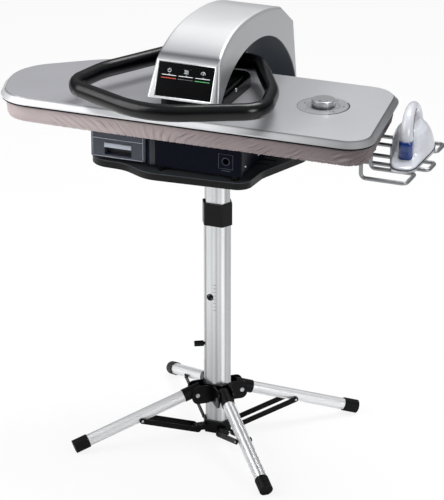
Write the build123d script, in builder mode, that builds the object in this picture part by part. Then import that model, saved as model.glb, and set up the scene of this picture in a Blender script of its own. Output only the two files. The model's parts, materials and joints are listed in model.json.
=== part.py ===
from build123d import *
import os
from math import acos, asin, atan, atan2, cos, degrees, hypot, radians, sin

os.makedirs("parts", exist_ok=True)

# Steam ironing press on a folding four-legged stand, in millimetres.
# X runs along the ironing board, Y away from the user, Z up, with the feet at z = 0.
# Every x and y below is counted from the axis of the stand's column.

# Stand column: a stretched hexagon, three tubes that slide in each other
column_width = 74
column_depth = 50
column_face = 46
column_wall = 1.6
slide_gap = 0.4
column_foot_z = 92
column_top_z = 620
collar_foot_z = 584
collar_top_z = 643
collar_wall = 3
inner_column_foot_z = 268
sleeve_foot_z = 12
sleeve_top_z = 345

# Height button in the column's front face, and the lock knob in its left facet
button_x = -10
button_z = 388
button_radius = 5
button_proud = 3.5
height_step = 35
height_steps = 3
knob_z = 252
knob_radius = 7.5
knob_length = 24
knob_stand_off = 3
knob_shaft_radius = 4

# Folding legs and their struts, in each leg's own upright plane
leg_count = 4
leg_azimuth = 40.1
leg_pivot_reach = 60
leg_pivot_z = 121
leg_pivot_drop = 6
leg_length = 342
leg_radius = 15
leg_wall = 1.6
boot_radius = 17
boot_back = 17
boot_front = 32
boot_plug = 8
foot_radius = 17.5
foot_length = 40
foot_flat_depth = 1.2
strut_pivot_along = 157
brace_pivot_reach = 58
brace_pivot_z = 23
strut_height = 14
strut_thickness = 3
strut_side_gap = 2.3
fold_angle = 66
hub_foot_z = 97
hub_top_z = 146
hub_wall = 3.6
hub_ear_reach = 74
ear_thickness = 4
brace_foot_z = 8
brace_top_z = 40
brace_wall = 5
brace_ear_half = 10
brace_ear_end = 7
pin_radius = 4
rivet_radius = 3
rivet_head = 5.5
rivet_head_height = 1.5
running_gap = 0.05
fit_gap = 0.3
overrun = 5

# Tray on top of the column
tray_floor_z = 747
tray_rim_foot_z = 728
tray_wall = 3
tray_floor = 4
tray_recess = 1.5
tray_border = 7
tray_left = -322
tray_right = 185
tray_front = -132
tray_rear = 200
bracket_width = 150
bracket_depth = 110
bracket_thickness = 4
bracket_wall = 4

# Base housing, water tank and steam parts
base_left = -150
base_right = 104
base_front = -105
base_rear = 235
base_foot_z = 757
base_top_z = 858
base_wall = 3
base_corner = 10
post_radius = 10
post_inset = 38
post_front_inset = 10
tank_left = -300
tank_rear = 140
tank_top_z = 845
tank_wall = 2.5
tank_corner = 7
tank_pull_left = -261
tank_pull_right = -188
tank_pull_foot_z = 769
tank_pull_top_z = 790
tank_pull_depth = 22
filler_radius = 14
shelf_thickness = 5
boiler_radius = 40
boiler_length = 190
boiler_x = -80
pump_width = 46
pump_length = 90
pump_height = 52
pump_x = 40
socket_x = 65
socket_z = 795
socket_plate = 36
socket_plate_thickness = 2.5
socket_boss_radius = 11
socket_bore_radius = 7
socket_bore_depth = 18

# Ironing board and heated plate, which share one outline
plate_left = -540
plate_right = 469
plate_front = -230
plate_rear = 190
plate_top_z = 934
plate_rim_z = 918
plate_bevel = 13
cover_sheet = 1.6
heat_plate_thickness = 5.4
heat_plate_inset = 14
heat_core_inset = 70
heat_core_wall = 12
heat_core_boss = 16
pad_top_z = 912
skirt_foot_z = 870
skirt_inset = 13
skirt_thickness = 6
pad_sheet = 2.7
pan_foot_z = skirt_foot_z - fit_gap
pan_top_z = 902
pan_wall = 2

# Thermostat dial on the plate
dial_x = 280
dial_y = -2
dial_radius = 29
dial_height = 18
dial_ring_outer = 66
dial_ring_inner = 31
dial_recess = 0.8
dial_spindle_radius = 4
dial_spindle_depth = 10

# Hood over the press arm: side profile in y and z, width by height
hood_x = -17
hood_front_y = -188
hood_front_z = 968
panel_top_y = -150
panel_top_z = 1056
crease_y = -136
crease_z = 1068
hood_rise_y = -40
hood_crown_y = 60
hood_back_y = 203
hood_shoulder_y = 283
hood_rear_y = 352
hood_rear_z = 1022
hood_tail_y = 325
hood_tail_z = 862
hood_top_half = 75
hood_tail_half = 111
hood_crown_rise = 178
hood_rise_drop = 7
hood_back_drop = 14
hood_shoulder_drop = 35
hood_edge_round = 9
hood_wall = 3
arch_front_y = -171
arch_rise_y = -98
arch_rise_z = 1013
arch_top_y = 81
arch_top_z = 1048
arch_fall_y = 236
arch_fall_z = 1007
arch_rear_y = 304
arch_rear_z = 930
arch_tail_y = 312
liner_thickness = 2.5
liner_tail_z = 884

# Control panel let into the hood's front
display_width = 146
display_height = 84
display_thickness = 4
display_sunk = 0.8
key_width = 24
key_height = 13
key_rise = 0.6
key_travel = 0.5
key_pitch = 44
key_drop = 19

# Press arm, its block on the plate, and the rear hinge
arm_half = 14
arm_gap = 1
arm_post_front = -60
arm_post_rear = -10
block_half = 48
block_front_y = -150
block_rear_y = 130
block_shoulder_z = 962
block_peak_y = -25
block_peak_z = 1028
block_back_z = 1006
block_brow_z = 992
block_apron_half = 82
block_apron_front = -145
block_apron_rear = 84
block_apron_top_z = 972
block_apron_round = 25
hinge_y = 300
hinge_z = 848
hinge_pin_radius = 8
hinge_boss_radius = 17
hinge_cheek_inner = 32
hinge_cheek = 6
hinge_flange_foot_z = 790
spring_thickness = 5

# Handle loop
handle_x = -44
handle_z = 985
handle_rear_y = 105
handle_rear_half = 95
handle_side_half = 225
handle_side_y = -90
handle_tip_half = 256
handle_tip_y = -228
handle_nose_y = -350
handle_rear_share = 0.1875
handle_side_round = 200
handle_tip_round = 65
handle_nose_round = 200
handle_tube_half_width = 17.5
handle_tube_half_height = 21.5
handle_axle_radius = 14

# Iron rest: three wire hairpins under the board's right end
rack_z = 820
rack_wire_radius = 5
rack_stems = (360, 385, 430)
rack_reaches = (546, 566, 544)
rack_centres = (115, -17, -114)
rack_gaps = (56, 54, 72)
rack_bend = 12

# Steam iron standing on its rest, nose to the front and turned a little to the right
iron_x = 500
iron_turn = 9
iron_nose_y = -103
iron_length = 243
iron_width = 100
iron_curve_shares = ((0.72, 0.2), (1, 0.55), (0.9, 0.9), (0.6, 1))
iron_heel_bulge = 2
iron_middle_share = 0.56
iron_sole_thickness = 6
iron_shoulder_height = 40
iron_body_height = 66
iron_foot_share = 0.98
iron_shoulder_share = 0.88
iron_crown_share = 0.52
iron_handle_radius = 13
iron_handle_top = 117
iron_handle_front = 65
iron_handle_lean = 24
iron_handle_rear = 216
iron_tank_width = 34
iron_tank_length = 40
iron_tank_foot = 24
iron_tank_top = 70
trigger_width = 12
trigger_length = 22
trigger_height = 12
trigger_travel = 3
trigger_set_back = 60

# The column stands where the whole part's box is centred on the origin
rack_right = max(rack_reaches) + rack_wire_radius
nose_slant = atan2(handle_tip_y - handle_nose_y, handle_tip_half)
handle_apex = handle_nose_y + handle_nose_round / cos(nose_slant) - handle_nose_round
handle_front = handle_apex - handle_tube_half_width
column_x = -(plate_left + rack_right) / 2
column_y = -(handle_front + hood_rear_y) / 2
ground = Plane(origin=(column_x, column_y, 0))


def level(z):
    """Flat plane at height z, with its x and y counted from the column."""
    return ground.offset(z)


def side(x):
    """Upright plane facing +X: its x is Y and its y is Z."""
    return Plane(origin=(column_x + x, column_y, 0), x_dir=(0, 1, 0), z_dir=(1, 0, 0))


def front(y):
    """Upright plane facing the user: its x is X and its y is Z."""
    return Plane(origin=(column_x, column_y + y, 0), x_dir=(1, 0, 0), z_dir=(0, -1, 0))


def save(piece, name):
    """Label a finished piece and write it as its own STEP file."""
    piece.part.label = name
    export_step(piece.part, f"parts/{name}.step")


# Column section: facet_x and facet_y are the slanted facet's outward normal
facet_run = (column_width - column_face) / 2
facet_x = column_depth / 2 / hypot(column_depth / 2, facet_run)
facet_y = facet_run / hypot(column_depth / 2, facet_run)


def hexagon(shrink):
    """Corners of the column's section, moved inward by shrink."""
    tip = column_width / 2 - shrink / facet_x
    flat = column_depth / 2 - shrink
    corner = tip - flat * facet_y / facet_x
    return [(tip, 0), (corner, flat), (-corner, flat), (-tip, 0), (-corner, -flat), (corner, -flat)]


def hex_tube(foot_z, top_z, outer, inner):
    """Stretched-hexagon tube between two heights, its walls given as shrinks."""
    with BuildPart() as tube:
        with BuildSketch(level(foot_z)):
            Polygon(*hexagon(outer), align=None)
            Polygon(*hexagon(inner), align=None, mode=Mode.SUBTRACT)
        extrude(amount=top_z - foot_z)
    return tube


inner_shrink = column_wall + slide_gap
sleeve_shrink = 2 * inner_shrink
button_face = front(-column_depth / 2)
facet_centre = ((column_width + column_face) / 4, column_depth / 4)
knob_face = Plane(
    origin=(column_x - facet_centre[0], column_y - facet_centre[1], knob_z),
    x_dir=(facet_y, -facet_x, 0),
    z_dir=(-facet_x, -facet_y, 0),
)

with BuildPart() as outer_column:
    add(hex_tube(column_foot_z, column_top_z, 0, column_wall).part)
    with BuildSketch(button_face):
        with Locations((button_x, button_z)):
            Circle(button_radius + fit_gap)
    extrude(amount=-column_wall - slide_gap, mode=Mode.SUBTRACT)
    with BuildSketch(knob_face):
        Circle(knob_shaft_radius + fit_gap)
    extrude(amount=-column_wall - slide_gap, mode=Mode.SUBTRACT)
save(outer_column, "outer_column")

with BuildPart() as column_collar:
    with BuildSketch(level(collar_foot_z)):
        Polygon(*hexagon(-collar_wall), align=None)
    extrude(amount=collar_top_z - collar_foot_z)
    with BuildSketch(level(collar_foot_z)):
        Polygon(*hexagon(0), align=None)
    extrude(amount=column_top_z - collar_foot_z, mode=Mode.SUBTRACT)
    with BuildSketch(level(column_top_z)):
        Polygon(*hexagon(column_wall), align=None)
    extrude(amount=collar_top_z - column_top_z, mode=Mode.SUBTRACT)
save(column_collar, "column_collar")

tray_under_z = tray_floor_z - tray_recess - tray_floor
with BuildPart() as inner_column:
    add(hex_tube(inner_column_foot_z, tray_under_z, inner_shrink, inner_shrink + column_wall).part)
    with BuildSketch(button_face):
        for step in range(height_steps + 1):
            with Locations((button_x, button_z - step * height_step)):
                Circle(button_radius + 2 * fit_gap)
    extrude(amount=-inner_shrink - column_wall - slide_gap, mode=Mode.SUBTRACT)
save(inner_column, "inner_column")

with BuildPart() as height_button:
    with BuildSketch(button_face.offset(-inner_shrink + fit_gap)):
        with Locations((button_x, button_z)):
            Circle(button_radius)
    extrude(amount=inner_shrink - fit_gap + button_proud)
    fillet(height_button.faces().sort_by(Axis.Y)[0].edges(), button_radius / 2)
save(height_button, "height_button")

with BuildPart() as lock_knob:
    with BuildSketch(knob_face.offset(-sleeve_shrink + fit_gap)):
        Circle(knob_shaft_radius)
    extrude(amount=sleeve_shrink + knob_stand_off)
    with BuildSketch(knob_face.offset(knob_stand_off)):
        Circle(knob_radius)
    extrude(amount=knob_length)
    rim_edges = lock_knob.edges().filter_by(GeomType.CIRCLE)
    fillet(rim_edges.sort_by(Axis(knob_face.origin, knob_face.z_dir))[-1], knob_radius / 4)
save(lock_knob, "lock_knob")

brace_sleeve = hex_tube(sleeve_foot_z, sleeve_top_z, sleeve_shrink, sleeve_shrink + column_wall)
save(brace_sleeve, "brace_sleeve")


# Leg geometry: the slope that sets each foot's flat on the floor, and the strut's two pivots
foot_overhang = foot_radius - leg_pivot_drop
leg_slope = degrees(
    asin((leg_pivot_z + foot_flat_depth) / hypot(leg_length, foot_overhang))
    - atan(foot_overhang / leg_length))
slope_cos = cos(radians(leg_slope))
slope_sin = sin(radians(leg_slope))
strut_pivot_reach = leg_pivot_reach + strut_pivot_along * slope_cos
strut_pivot_z = leg_pivot_z - strut_pivot_along * slope_sin
strut_length = hypot(strut_pivot_reach - brace_pivot_reach, strut_pivot_z - brace_pivot_z)
strut_slope = degrees(atan2(strut_pivot_z - brace_pivot_z, strut_pivot_reach - brace_pivot_reach))
folded_slope = radians(leg_slope + fold_angle)
folded_reach = leg_pivot_reach + strut_pivot_along * cos(folded_slope)
folded_strut_slope = degrees(acos((folded_reach - brace_pivot_reach) / strut_length))
brace_travel = brace_pivot_z - (
    leg_pivot_z - strut_pivot_along * sin(folded_slope)
    - strut_length * sin(radians(folded_strut_slope)))
strut_turn = folded_strut_slope - strut_slope + fold_angle


class Leg:
    """Directions and points of one leg in its own upright plane."""

    def __init__(self, azimuth):
        self.out = Vector(cos(radians(azimuth)), sin(radians(azimuth)), 0)
        self.across = Vector(-sin(radians(azimuth)), cos(radians(azimuth)), 0)
        self.along = self.out * slope_cos - Vector(0, 0, slope_sin)
        self.above = self.out * slope_sin + Vector(0, 0, slope_cos)
        self.pivot = self.point(leg_pivot_reach, leg_pivot_z)
        self.strut_pivot = self.point(strut_pivot_reach, strut_pivot_z)
        self.brace_pivot = self.point(brace_pivot_reach, brace_pivot_z)

    def point(self, reach, z):
        return Vector(column_x, column_y, z) + self.out * reach

    def section(self, distance):
        """Plane across the leg's tube, at a distance along it from the pivot."""
        centre = self.pivot + self.along * distance + self.above * leg_pivot_drop
        return Plane(origin=centre, x_dir=self.across, z_dir=self.along)

    def hinge(self, centre):
        """Plane through a pivot, facing across the leg."""
        return Plane(origin=centre, x_dir=self.out, z_dir=self.across)


legs = [Leg(leg_azimuth + 360 / leg_count * number) for number in range(leg_count)]
ear_inner = boot_radius + fit_gap
ear_outer = ear_inner + ear_thickness
strut_inner = leg_radius + strut_side_gap
strut_outer = strut_inner + strut_thickness

with BuildPart() as leg_hub:
    with BuildSketch(level(hub_foot_z)):
        Polygon(*hexagon(-hub_wall), align=None)
    extrude(amount=hub_top_z - hub_foot_z)
    for leg in legs:
        for turn in (1, -1):
            ear_middle_z = (hub_top_z + hub_foot_z) / 2
            ear_height = hub_top_z - hub_foot_z
            with BuildSketch(leg.hinge(leg.point(0, ear_middle_z) + leg.across * turn * ear_inner)):
                with Locations(((ear_inner + hub_ear_reach) / 2, 0)):
                    RectangleRounded(hub_ear_reach - ear_inner, ear_height, ear_height / 3)
            extrude(amount=ear_thickness * turn)
    with BuildSketch(level(hub_foot_z)):
        Polygon(*hexagon(0), align=None)
    extrude(amount=hub_top_z - hub_foot_z, mode=Mode.SUBTRACT)
    for leg in legs:
        with BuildSketch(leg.hinge(leg.pivot)):
            Circle(pin_radius)
        extrude(amount=ear_outer, both=True, mode=Mode.SUBTRACT)
save(leg_hub, "leg_hub")

with BuildPart() as leg_pins:
    for leg in legs:
        with BuildSketch(leg.hinge(leg.pivot)):
            Circle(pin_radius)
        extrude(amount=ear_outer, both=True)
        for turn in (1, -1):
            with BuildSketch(leg.hinge(leg.pivot + leg.across * turn * ear_outer)):
                Circle(pin_radius + rivet_head_height)
            extrude(amount=rivet_head_height * turn)
save(leg_pins, "leg_pins")

for number, leg in enumerate(legs, start=1):
    with BuildPart() as leg_boot:
        with BuildSketch(leg.section(-boot_back)):
            Circle(boot_radius)
        extrude(amount=boot_back + boot_front)
        inner_rim = leg_boot.edges().filter_by(GeomType.CIRCLE).sort_by(Axis.Z)[-1]
        fillet(inner_rim, boot_radius - leg_radius)
        with BuildSketch(leg.section(boot_plug)):
            Circle(leg_radius)
        extrude(amount=boot_front - boot_plug, mode=Mode.SUBTRACT)
        with BuildSketch(leg.hinge(leg.pivot)):
            Circle(pin_radius + running_gap)
        extrude(amount=boot_radius, both=True, mode=Mode.SUBTRACT)
    save(leg_boot, f"leg_boot_{number}")

    with BuildPart() as leg_tube:
        with BuildSketch(leg.section(boot_plug)):
            Circle(leg_radius)
            Circle(leg_radius - leg_wall, mode=Mode.SUBTRACT)
        extrude(amount=leg_length - boot_plug - foot_length / 4)
        with BuildSketch(leg.hinge(leg.strut_pivot)):
            Circle(rivet_radius + running_gap)
        extrude(amount=leg_radius, both=True, mode=Mode.SUBTRACT)
    save(leg_tube, f"leg_tube_{number}")

    with BuildPart() as foot_cap:
        with BuildSketch(leg.section(leg_length - foot_length)):
            Circle(foot_radius)
        extrude(amount=foot_length)
        end_rims = foot_cap.edges().filter_by(GeomType.CIRCLE).sort_by(Axis.Z)
        fillet(end_rims[-1], (foot_radius - leg_radius) / 2)
        with BuildSketch(leg.section(leg_length - foot_length)):
            Circle(leg_radius)
        extrude(amount=foot_length - foot_length / 4, mode=Mode.SUBTRACT)
        split(bisect_by=ground, keep=Keep.TOP)
    save(foot_cap, f"foot_cap_{number}")

    strut_middle = (leg.strut_pivot + leg.brace_pivot) * 0.5
    strut_way = (leg.strut_pivot - leg.brace_pivot).normalized()
    with BuildPart() as strut:
        for turn in (1, -1):
            bar_face = Plane(
                origin=strut_middle + leg.across * turn * strut_inner,
                x_dir=strut_way, z_dir=leg.across * turn)
            with BuildSketch(bar_face):
                SlotCenterToCenter(strut_length, strut_height)
                with GridLocations(strut_length, 0, 2, 1):
                    Circle(rivet_radius + running_gap, mode=Mode.SUBTRACT)
            extrude(amount=strut_thickness)
            with BuildSketch(leg.hinge(leg.brace_pivot + leg.across * turn * strut_outer)):
                Circle(rivet_head)
            extrude(amount=rivet_head_height * turn)
            with BuildSketch(leg.hinge(leg.strut_pivot + leg.across * turn * strut_outer)):
                Circle(rivet_head)
            extrude(amount=rivet_head_height * turn)
        with BuildSketch(leg.hinge(leg.strut_pivot)):
            Circle(rivet_radius)
        extrude(amount=strut_outer, both=True)
    save(strut, f"strut_{number}")

with BuildPart() as brace_collar:
    with BuildSketch(level(brace_foot_z)):
        Polygon(*hexagon(sleeve_shrink - brace_wall), align=None)
    extrude(amount=brace_top_z - brace_foot_z)
    for leg in legs:
        with BuildSketch(leg.hinge(leg.point(0, brace_pivot_z))):
            with Locations((brace_pivot_reach / 2, 0)):
                SlotCenterToCenter(brace_pivot_reach, 2 * brace_ear_end)
        extrude(amount=brace_ear_half, both=True)
    with BuildSketch(level(brace_foot_z)):
        Polygon(*hexagon(sleeve_shrink), align=None)
    extrude(amount=brace_top_z - brace_foot_z, mode=Mode.SUBTRACT)
    for leg in legs:
        with BuildSketch(leg.hinge(leg.brace_pivot)):
            Circle(rivet_radius)
        extrude(amount=brace_ear_half, both=True, mode=Mode.SUBTRACT)
save(brace_collar, "brace_collar")

with BuildPart() as brace_pins:
    for leg in legs:
        with BuildSketch(leg.hinge(leg.brace_pivot)):
            Circle(rivet_radius)
        extrude(amount=strut_inner - fit_gap, both=True)
save(brace_pins, "brace_pins")


def rounded_outline(corners, rounds, inset=0):
    """Polygon with its own round at each corner, moved inward by inset."""
    with BuildSketch() as outline:
        Polygon(*corners, align=None)
        for corner, radius in zip(corners, rounds):
            nearest = outline.vertices().sort_by_distance((*corner, 0))[0]
            fillet(nearest, radius)
        if inset:
            offset(amount=-inset, kind=Kind.INTERSECTION)
    return outline.sketch


# Tray: the middle stands further out than the two wings
tray_width = tray_right - tray_left
tray_depth = tray_rear - tray_front
tray_shares = ((0, 1), (0, 0.132), (0.217, 0.12), (0.359, 0), (0.876, 0.048), (0.888, 0.337), (1, 0.79),
               (1, 1))
tray_round_shares = (0.18, 0.18, 0.3, 0.27, 0.11, 0.24, 0.18, 0.15)
tray_corners = [(tray_left + across * tray_width, tray_front + deep * tray_depth)
                for across, deep in tray_shares]
tray_rounds = [share * tray_depth for share in tray_round_shares]

with BuildPart() as tray:
    with BuildSketch(level(tray_rim_foot_z)):
        add(rounded_outline(tray_corners, tray_rounds))
    extrude(amount=tray_floor_z - tray_rim_foot_z)
    fillet(tray.faces().sort_by(Axis.Z)[-1].edges(), tray_wall / 2)
    with BuildSketch(level(tray_rim_foot_z)):
        add(rounded_outline(tray_corners, tray_rounds, tray_wall))
    extrude(amount=tray_under_z - tray_rim_foot_z, mode=Mode.SUBTRACT)
    with BuildSketch(level(tray_floor_z)):
        add(rounded_outline(tray_corners, tray_rounds, tray_border))
    extrude(amount=-tray_recess, mode=Mode.SUBTRACT)
save(tray, "tray")

with BuildPart() as tray_bracket:
    with BuildSketch(level(tray_under_z - bracket_thickness)):
        RectangleRounded(bracket_width, bracket_depth, bracket_depth / 8)
    extrude(amount=bracket_thickness)
    with BuildSketch(level(tray_rim_foot_z - bracket_thickness)):
        Polygon(*hexagon(inner_shrink - bracket_wall), align=None)
    extrude(amount=tray_under_z - tray_rim_foot_z)
    with BuildSketch(level(tray_rim_foot_z - bracket_thickness)):
        Polygon(*hexagon(inner_shrink), align=None)
    extrude(amount=tray_under_z - tray_rim_foot_z + bracket_thickness, mode=Mode.SUBTRACT)
save(tray_bracket, "tray_bracket")


def block(left, right, near, far, foot_z, top_z, mode=Mode.ADD):
    """Upright block between the given sides, from foot_z to top_z."""
    with BuildSketch(level(foot_z)) as base:
        with Locations(((left + right) / 2, (near + far) / 2)):
            Rectangle(right - left, far - near)
    extrude(base.sketch, amount=top_z - foot_z, mode=mode)


# Base housing: an open tub on four feet, with a shelf for the tank on its left
shelf_top_z = base_foot_z + shelf_thickness
with BuildPart() as base_housing:
    block(base_left, base_right, base_front, base_rear, base_foot_z, base_top_z)
    fillet(base_housing.edges().filter_by(Axis.Z), base_corner)
    block(base_left + base_wall, base_right - base_wall, base_front + base_wall,
          base_rear - base_wall, base_foot_z + base_wall, base_top_z, Mode.SUBTRACT)
    block(tank_left, base_left + base_wall, base_front + base_corner, tank_rear,
          base_foot_z, shelf_top_z)
    with BuildSketch(front(base_front)):
        with Locations((socket_x, socket_z)):
            Circle(socket_boss_radius)
    extrude(amount=-base_wall, mode=Mode.SUBTRACT)
save(base_housing, "base_housing")

tray_top_z = tray_floor_z - tray_recess
with BuildPart() as base_feet:
    foot_rear_y = tray_rear - post_inset
    foot_front_y = base_front + post_front_inset
    with BuildSketch(level(tray_top_z)):
        for foot_x in (base_left + post_inset, base_right - post_inset / 2):
            for foot_y in (foot_front_y, foot_rear_y):
                with Locations((foot_x, foot_y)):
                    Circle(post_radius)
    extrude(amount=base_foot_z - tray_top_z)
save(base_feet, "base_feet")

with BuildPart() as base_lid:
    block(base_left, base_right, base_front, base_rear, base_top_z, pan_foot_z)
    fillet(base_lid.edges().filter_by(Axis.Z), base_corner)
    block(base_left + base_wall, base_right - base_wall, base_front + base_wall,
          base_rear - base_wall, base_top_z, pan_foot_z - base_wall, Mode.SUBTRACT)
save(base_lid, "base_lid")

tank_right = base_left - slide_gap
tank_foot_z = shelf_top_z + fit_gap
with BuildPart() as tank_hollow:
    block(tank_left + tank_wall, tank_right - tank_wall, base_front + tank_wall,
          tank_rear - tank_wall, tank_foot_z + tank_wall, tank_top_z - tank_wall)
    block(tank_pull_left - tank_wall, tank_pull_right + tank_wall, base_front,
          base_front + tank_pull_depth + tank_wall, tank_pull_foot_z - tank_wall,
          tank_pull_top_z + tank_wall, Mode.SUBTRACT)

with BuildPart() as water_tank:
    block(tank_left, tank_right, base_front, tank_rear, tank_foot_z, tank_top_z)
    fillet(water_tank.edges().filter_by(Axis.Z), tank_corner)
    fillet(water_tank.faces().sort_by(Axis.Z)[-1].edges(), tank_wall)
    add(tank_hollow.part, mode=Mode.SUBTRACT)
    block(tank_pull_left, tank_pull_right, base_front, base_front + tank_pull_depth,
          tank_pull_foot_z, tank_pull_top_z, Mode.SUBTRACT)
    with BuildSketch(level(tank_top_z)):
        with Locations(((tank_left + tank_right) / 2, base_front + 3 * filler_radius)):
            Circle(filler_radius)
    extrude(amount=-tank_wall, mode=Mode.SUBTRACT)
save(water_tank, "water_tank")

with BuildPart() as tank_cap:
    with BuildSketch(level(tank_top_z - tank_wall)):
        with Locations(((tank_left + tank_right) / 2, base_front + 3 * filler_radius)):
            Circle(filler_radius - running_gap)
    extrude(amount=tank_wall)
    with BuildSketch(level(tank_top_z)):
        with Locations(((tank_left + tank_right) / 2, base_front + 3 * filler_radius)):
            Circle(filler_radius + tank_wall)
    extrude(amount=tank_wall)
save(tank_cap, "tank_cap")

with BuildPart() as boiler:
    boiler_centre_z = base_foot_z + base_wall + boiler_radius
    boiler_middle_y = (base_front + base_rear) / 2
    with BuildSketch(front(boiler_middle_y - boiler_length / 2)):
        with Locations((boiler_x, boiler_centre_z)):
            Circle(boiler_radius)
    extrude(amount=-boiler_length)
    fillet(boiler.edges().filter_by(GeomType.CIRCLE), boiler_radius / 3)
save(boiler, "boiler")

with BuildPart() as pump:
    pump_front = boiler_middle_y - pump_length / 2
    pump_foot_z = base_foot_z + base_wall
    block(pump_x - pump_width / 2, pump_x + pump_width / 2, pump_front, pump_front + pump_length / 2,
          pump_foot_z, pump_foot_z + pump_height)
    with BuildSketch(front(pump_front + pump_length / 2)):
        with Locations((pump_x, pump_foot_z + pump_width / 2)):
            Circle(pump_width / 2)
    extrude(amount=-pump_length / 2)
save(pump, "pump")

with BuildPart() as iron_socket:
    with BuildSketch(front(base_front)):
        with Locations((socket_x, socket_z)):
            RectangleRounded(socket_plate, socket_plate, socket_plate / 6)
    extrude(amount=socket_plate_thickness)
    with BuildSketch(front(base_front)):
        with Locations((socket_x, socket_z)):
            Circle(socket_boss_radius)
    extrude(amount=-socket_bore_depth)
    with BuildSketch(front(base_front - socket_plate_thickness)):
        with Locations((socket_x, socket_z)):
            Circle(socket_bore_radius)
    extrude(amount=-socket_bore_depth, mode=Mode.SUBTRACT)
save(iron_socket, "iron_socket")


# Board and plate outline: straight front, long curved nose at the left, slanted right end
plate_length = plate_right - plate_left
plate_width = plate_rear - plate_front
plate_shares = ((0.045, 0), (1.009, 0), (0.955, 1), (0.238, 1), (-0.023, 0.53))
plate_round_shares = (0.24, 0.155, 0.21, 0.945, 0.336)
plate_corners = [(plate_left + along * plate_length, plate_front + deep * plate_width)
                 for along, deep in plate_shares]
plate_rounds = [share * plate_width for share in plate_round_shares]


def plate_slab(foot_z, top_z, inset, mode=Mode.ADD):
    """Slab with the board's outline between two heights."""
    with BuildSketch(level(foot_z)) as slab:
        add(rounded_outline(plate_corners, plate_rounds, inset))
    extrude(slab.sketch, amount=top_z - foot_z, mode=mode)


def bevelled_slab(top_z, inset):
    """Slab from the plate's rim up to a height, with a broad bevel round its top."""
    with BuildPart() as slab:
        plate_slab(plate_rim_z, top_z, inset)
        chamfer(slab.faces().sort_by(Axis.Z)[-1].edges(), plate_bevel)
    return slab.part


with BuildPart() as board_pan:
    plate_slab(pan_foot_z, pan_top_z, skirt_inset + skirt_thickness + fit_gap)
    plate_slab(pan_foot_z + pan_wall, pan_top_z, skirt_inset + skirt_thickness + fit_gap + pan_wall,
               Mode.SUBTRACT)
save(board_pan, "board_pan")

with BuildPart() as foam_pad:
    plate_slab(pan_foot_z + pan_wall + fit_gap, pad_top_z - pad_sheet - fit_gap,
               skirt_inset + skirt_thickness + 2 * fit_gap + pan_wall)
save(foam_pad, "foam_pad")

with BuildPart() as pad_cover:
    plate_slab(skirt_foot_z, pad_top_z, skirt_inset)
    fillet(pad_cover.faces().sort_by(Axis.Z)[-1].edges(), skirt_thickness / 2)
    plate_slab(skirt_foot_z, pad_top_z - pad_sheet, skirt_inset + skirt_thickness, Mode.SUBTRACT)
save(pad_cover, "pad_cover")

heat_foot_z = pad_top_z + fit_gap
cover_under_z = plate_top_z - cover_sheet
with BuildPart() as heat_plate:
    plate_slab(heat_foot_z, heat_foot_z + heat_plate_thickness, heat_plate_inset)
    plate_slab(heat_foot_z, cover_under_z, heat_core_inset)
    plate_slab(heat_foot_z + heat_plate_thickness, cover_under_z, heat_core_inset + heat_core_wall,
               Mode.SUBTRACT)
    block(hood_x - block_half, hood_x + block_half, block_front_y, block_rear_y, heat_foot_z,
          cover_under_z)
    with BuildSketch(level(heat_foot_z)):
        with Locations((dial_x, dial_y)):
            Circle(heat_core_boss)
    extrude(amount=cover_under_z - heat_foot_z)
    with BuildSketch(level(cover_under_z)):
        with Locations((dial_x, dial_y)):
            Circle(dial_spindle_radius + running_gap)
    extrude(amount=-dial_spindle_depth, mode=Mode.SUBTRACT)
save(heat_plate, "heat_plate")

with BuildPart() as plate_cover:
    add(bevelled_slab(plate_top_z, 0))
    add(bevelled_slab(cover_under_z, cover_sheet), mode=Mode.SUBTRACT)
    with BuildSketch(level(plate_top_z)):
        with Locations((dial_x, dial_y)):
            Circle(dial_ring_outer)
    extrude(amount=-dial_recess, mode=Mode.SUBTRACT)
    with BuildSketch(level(plate_top_z)):
        with Locations((dial_x, dial_y)):
            Circle(dial_spindle_radius + running_gap)
    extrude(amount=-cover_sheet, mode=Mode.SUBTRACT)
save(plate_cover, "plate_cover")

with BuildPart() as dial_ring:
    with BuildSketch(level(plate_top_z - dial_recess)):
        with Locations((dial_x, dial_y)):
            Circle(dial_ring_outer - running_gap)
            Circle(dial_ring_inner, mode=Mode.SUBTRACT)
    extrude(amount=dial_recess)
save(dial_ring, "dial_ring")

with BuildPart() as dial_knob:
    with BuildSketch(level(plate_top_z + fit_gap)):
        with Locations((dial_x, dial_y)):
            Circle(dial_radius)
    extrude(amount=dial_height)
    fillet(dial_knob.faces().sort_by(Axis.Z)[-1].edges(), dial_height / 10)
    with BuildSketch(level(plate_top_z + fit_gap)):
        with Locations((dial_x, dial_y)):
            Circle(dial_spindle_radius)
    extrude(amount=-dial_spindle_depth)
save(dial_knob, "dial_knob")


# Hood: a side profile and a width profile, cut out of each other
hood_crown_z = plate_top_z + hood_crown_rise
hood_rise_z = hood_crown_z - hood_rise_drop
hood_back_z = hood_crown_z - hood_back_drop
hood_shoulder_z = hood_crown_z - hood_shoulder_drop
hood_outline = [(hood_front_y, hood_front_z), (panel_top_y, panel_top_z), (crease_y, crease_z),
                (hood_rise_y, hood_rise_z), (hood_crown_y, hood_crown_z), (hood_back_y, hood_back_z),
                (hood_shoulder_y, hood_shoulder_z), (hood_rear_y, hood_rear_z), (hood_tail_y, hood_tail_z)]
arch_outline = [(arch_front_y, hood_front_z), (arch_rise_y, arch_rise_z), (arch_top_y, arch_top_z),
                (arch_fall_y, arch_fall_z), (arch_rear_y, arch_rear_z), (arch_tail_y, hood_tail_z)]


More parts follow.
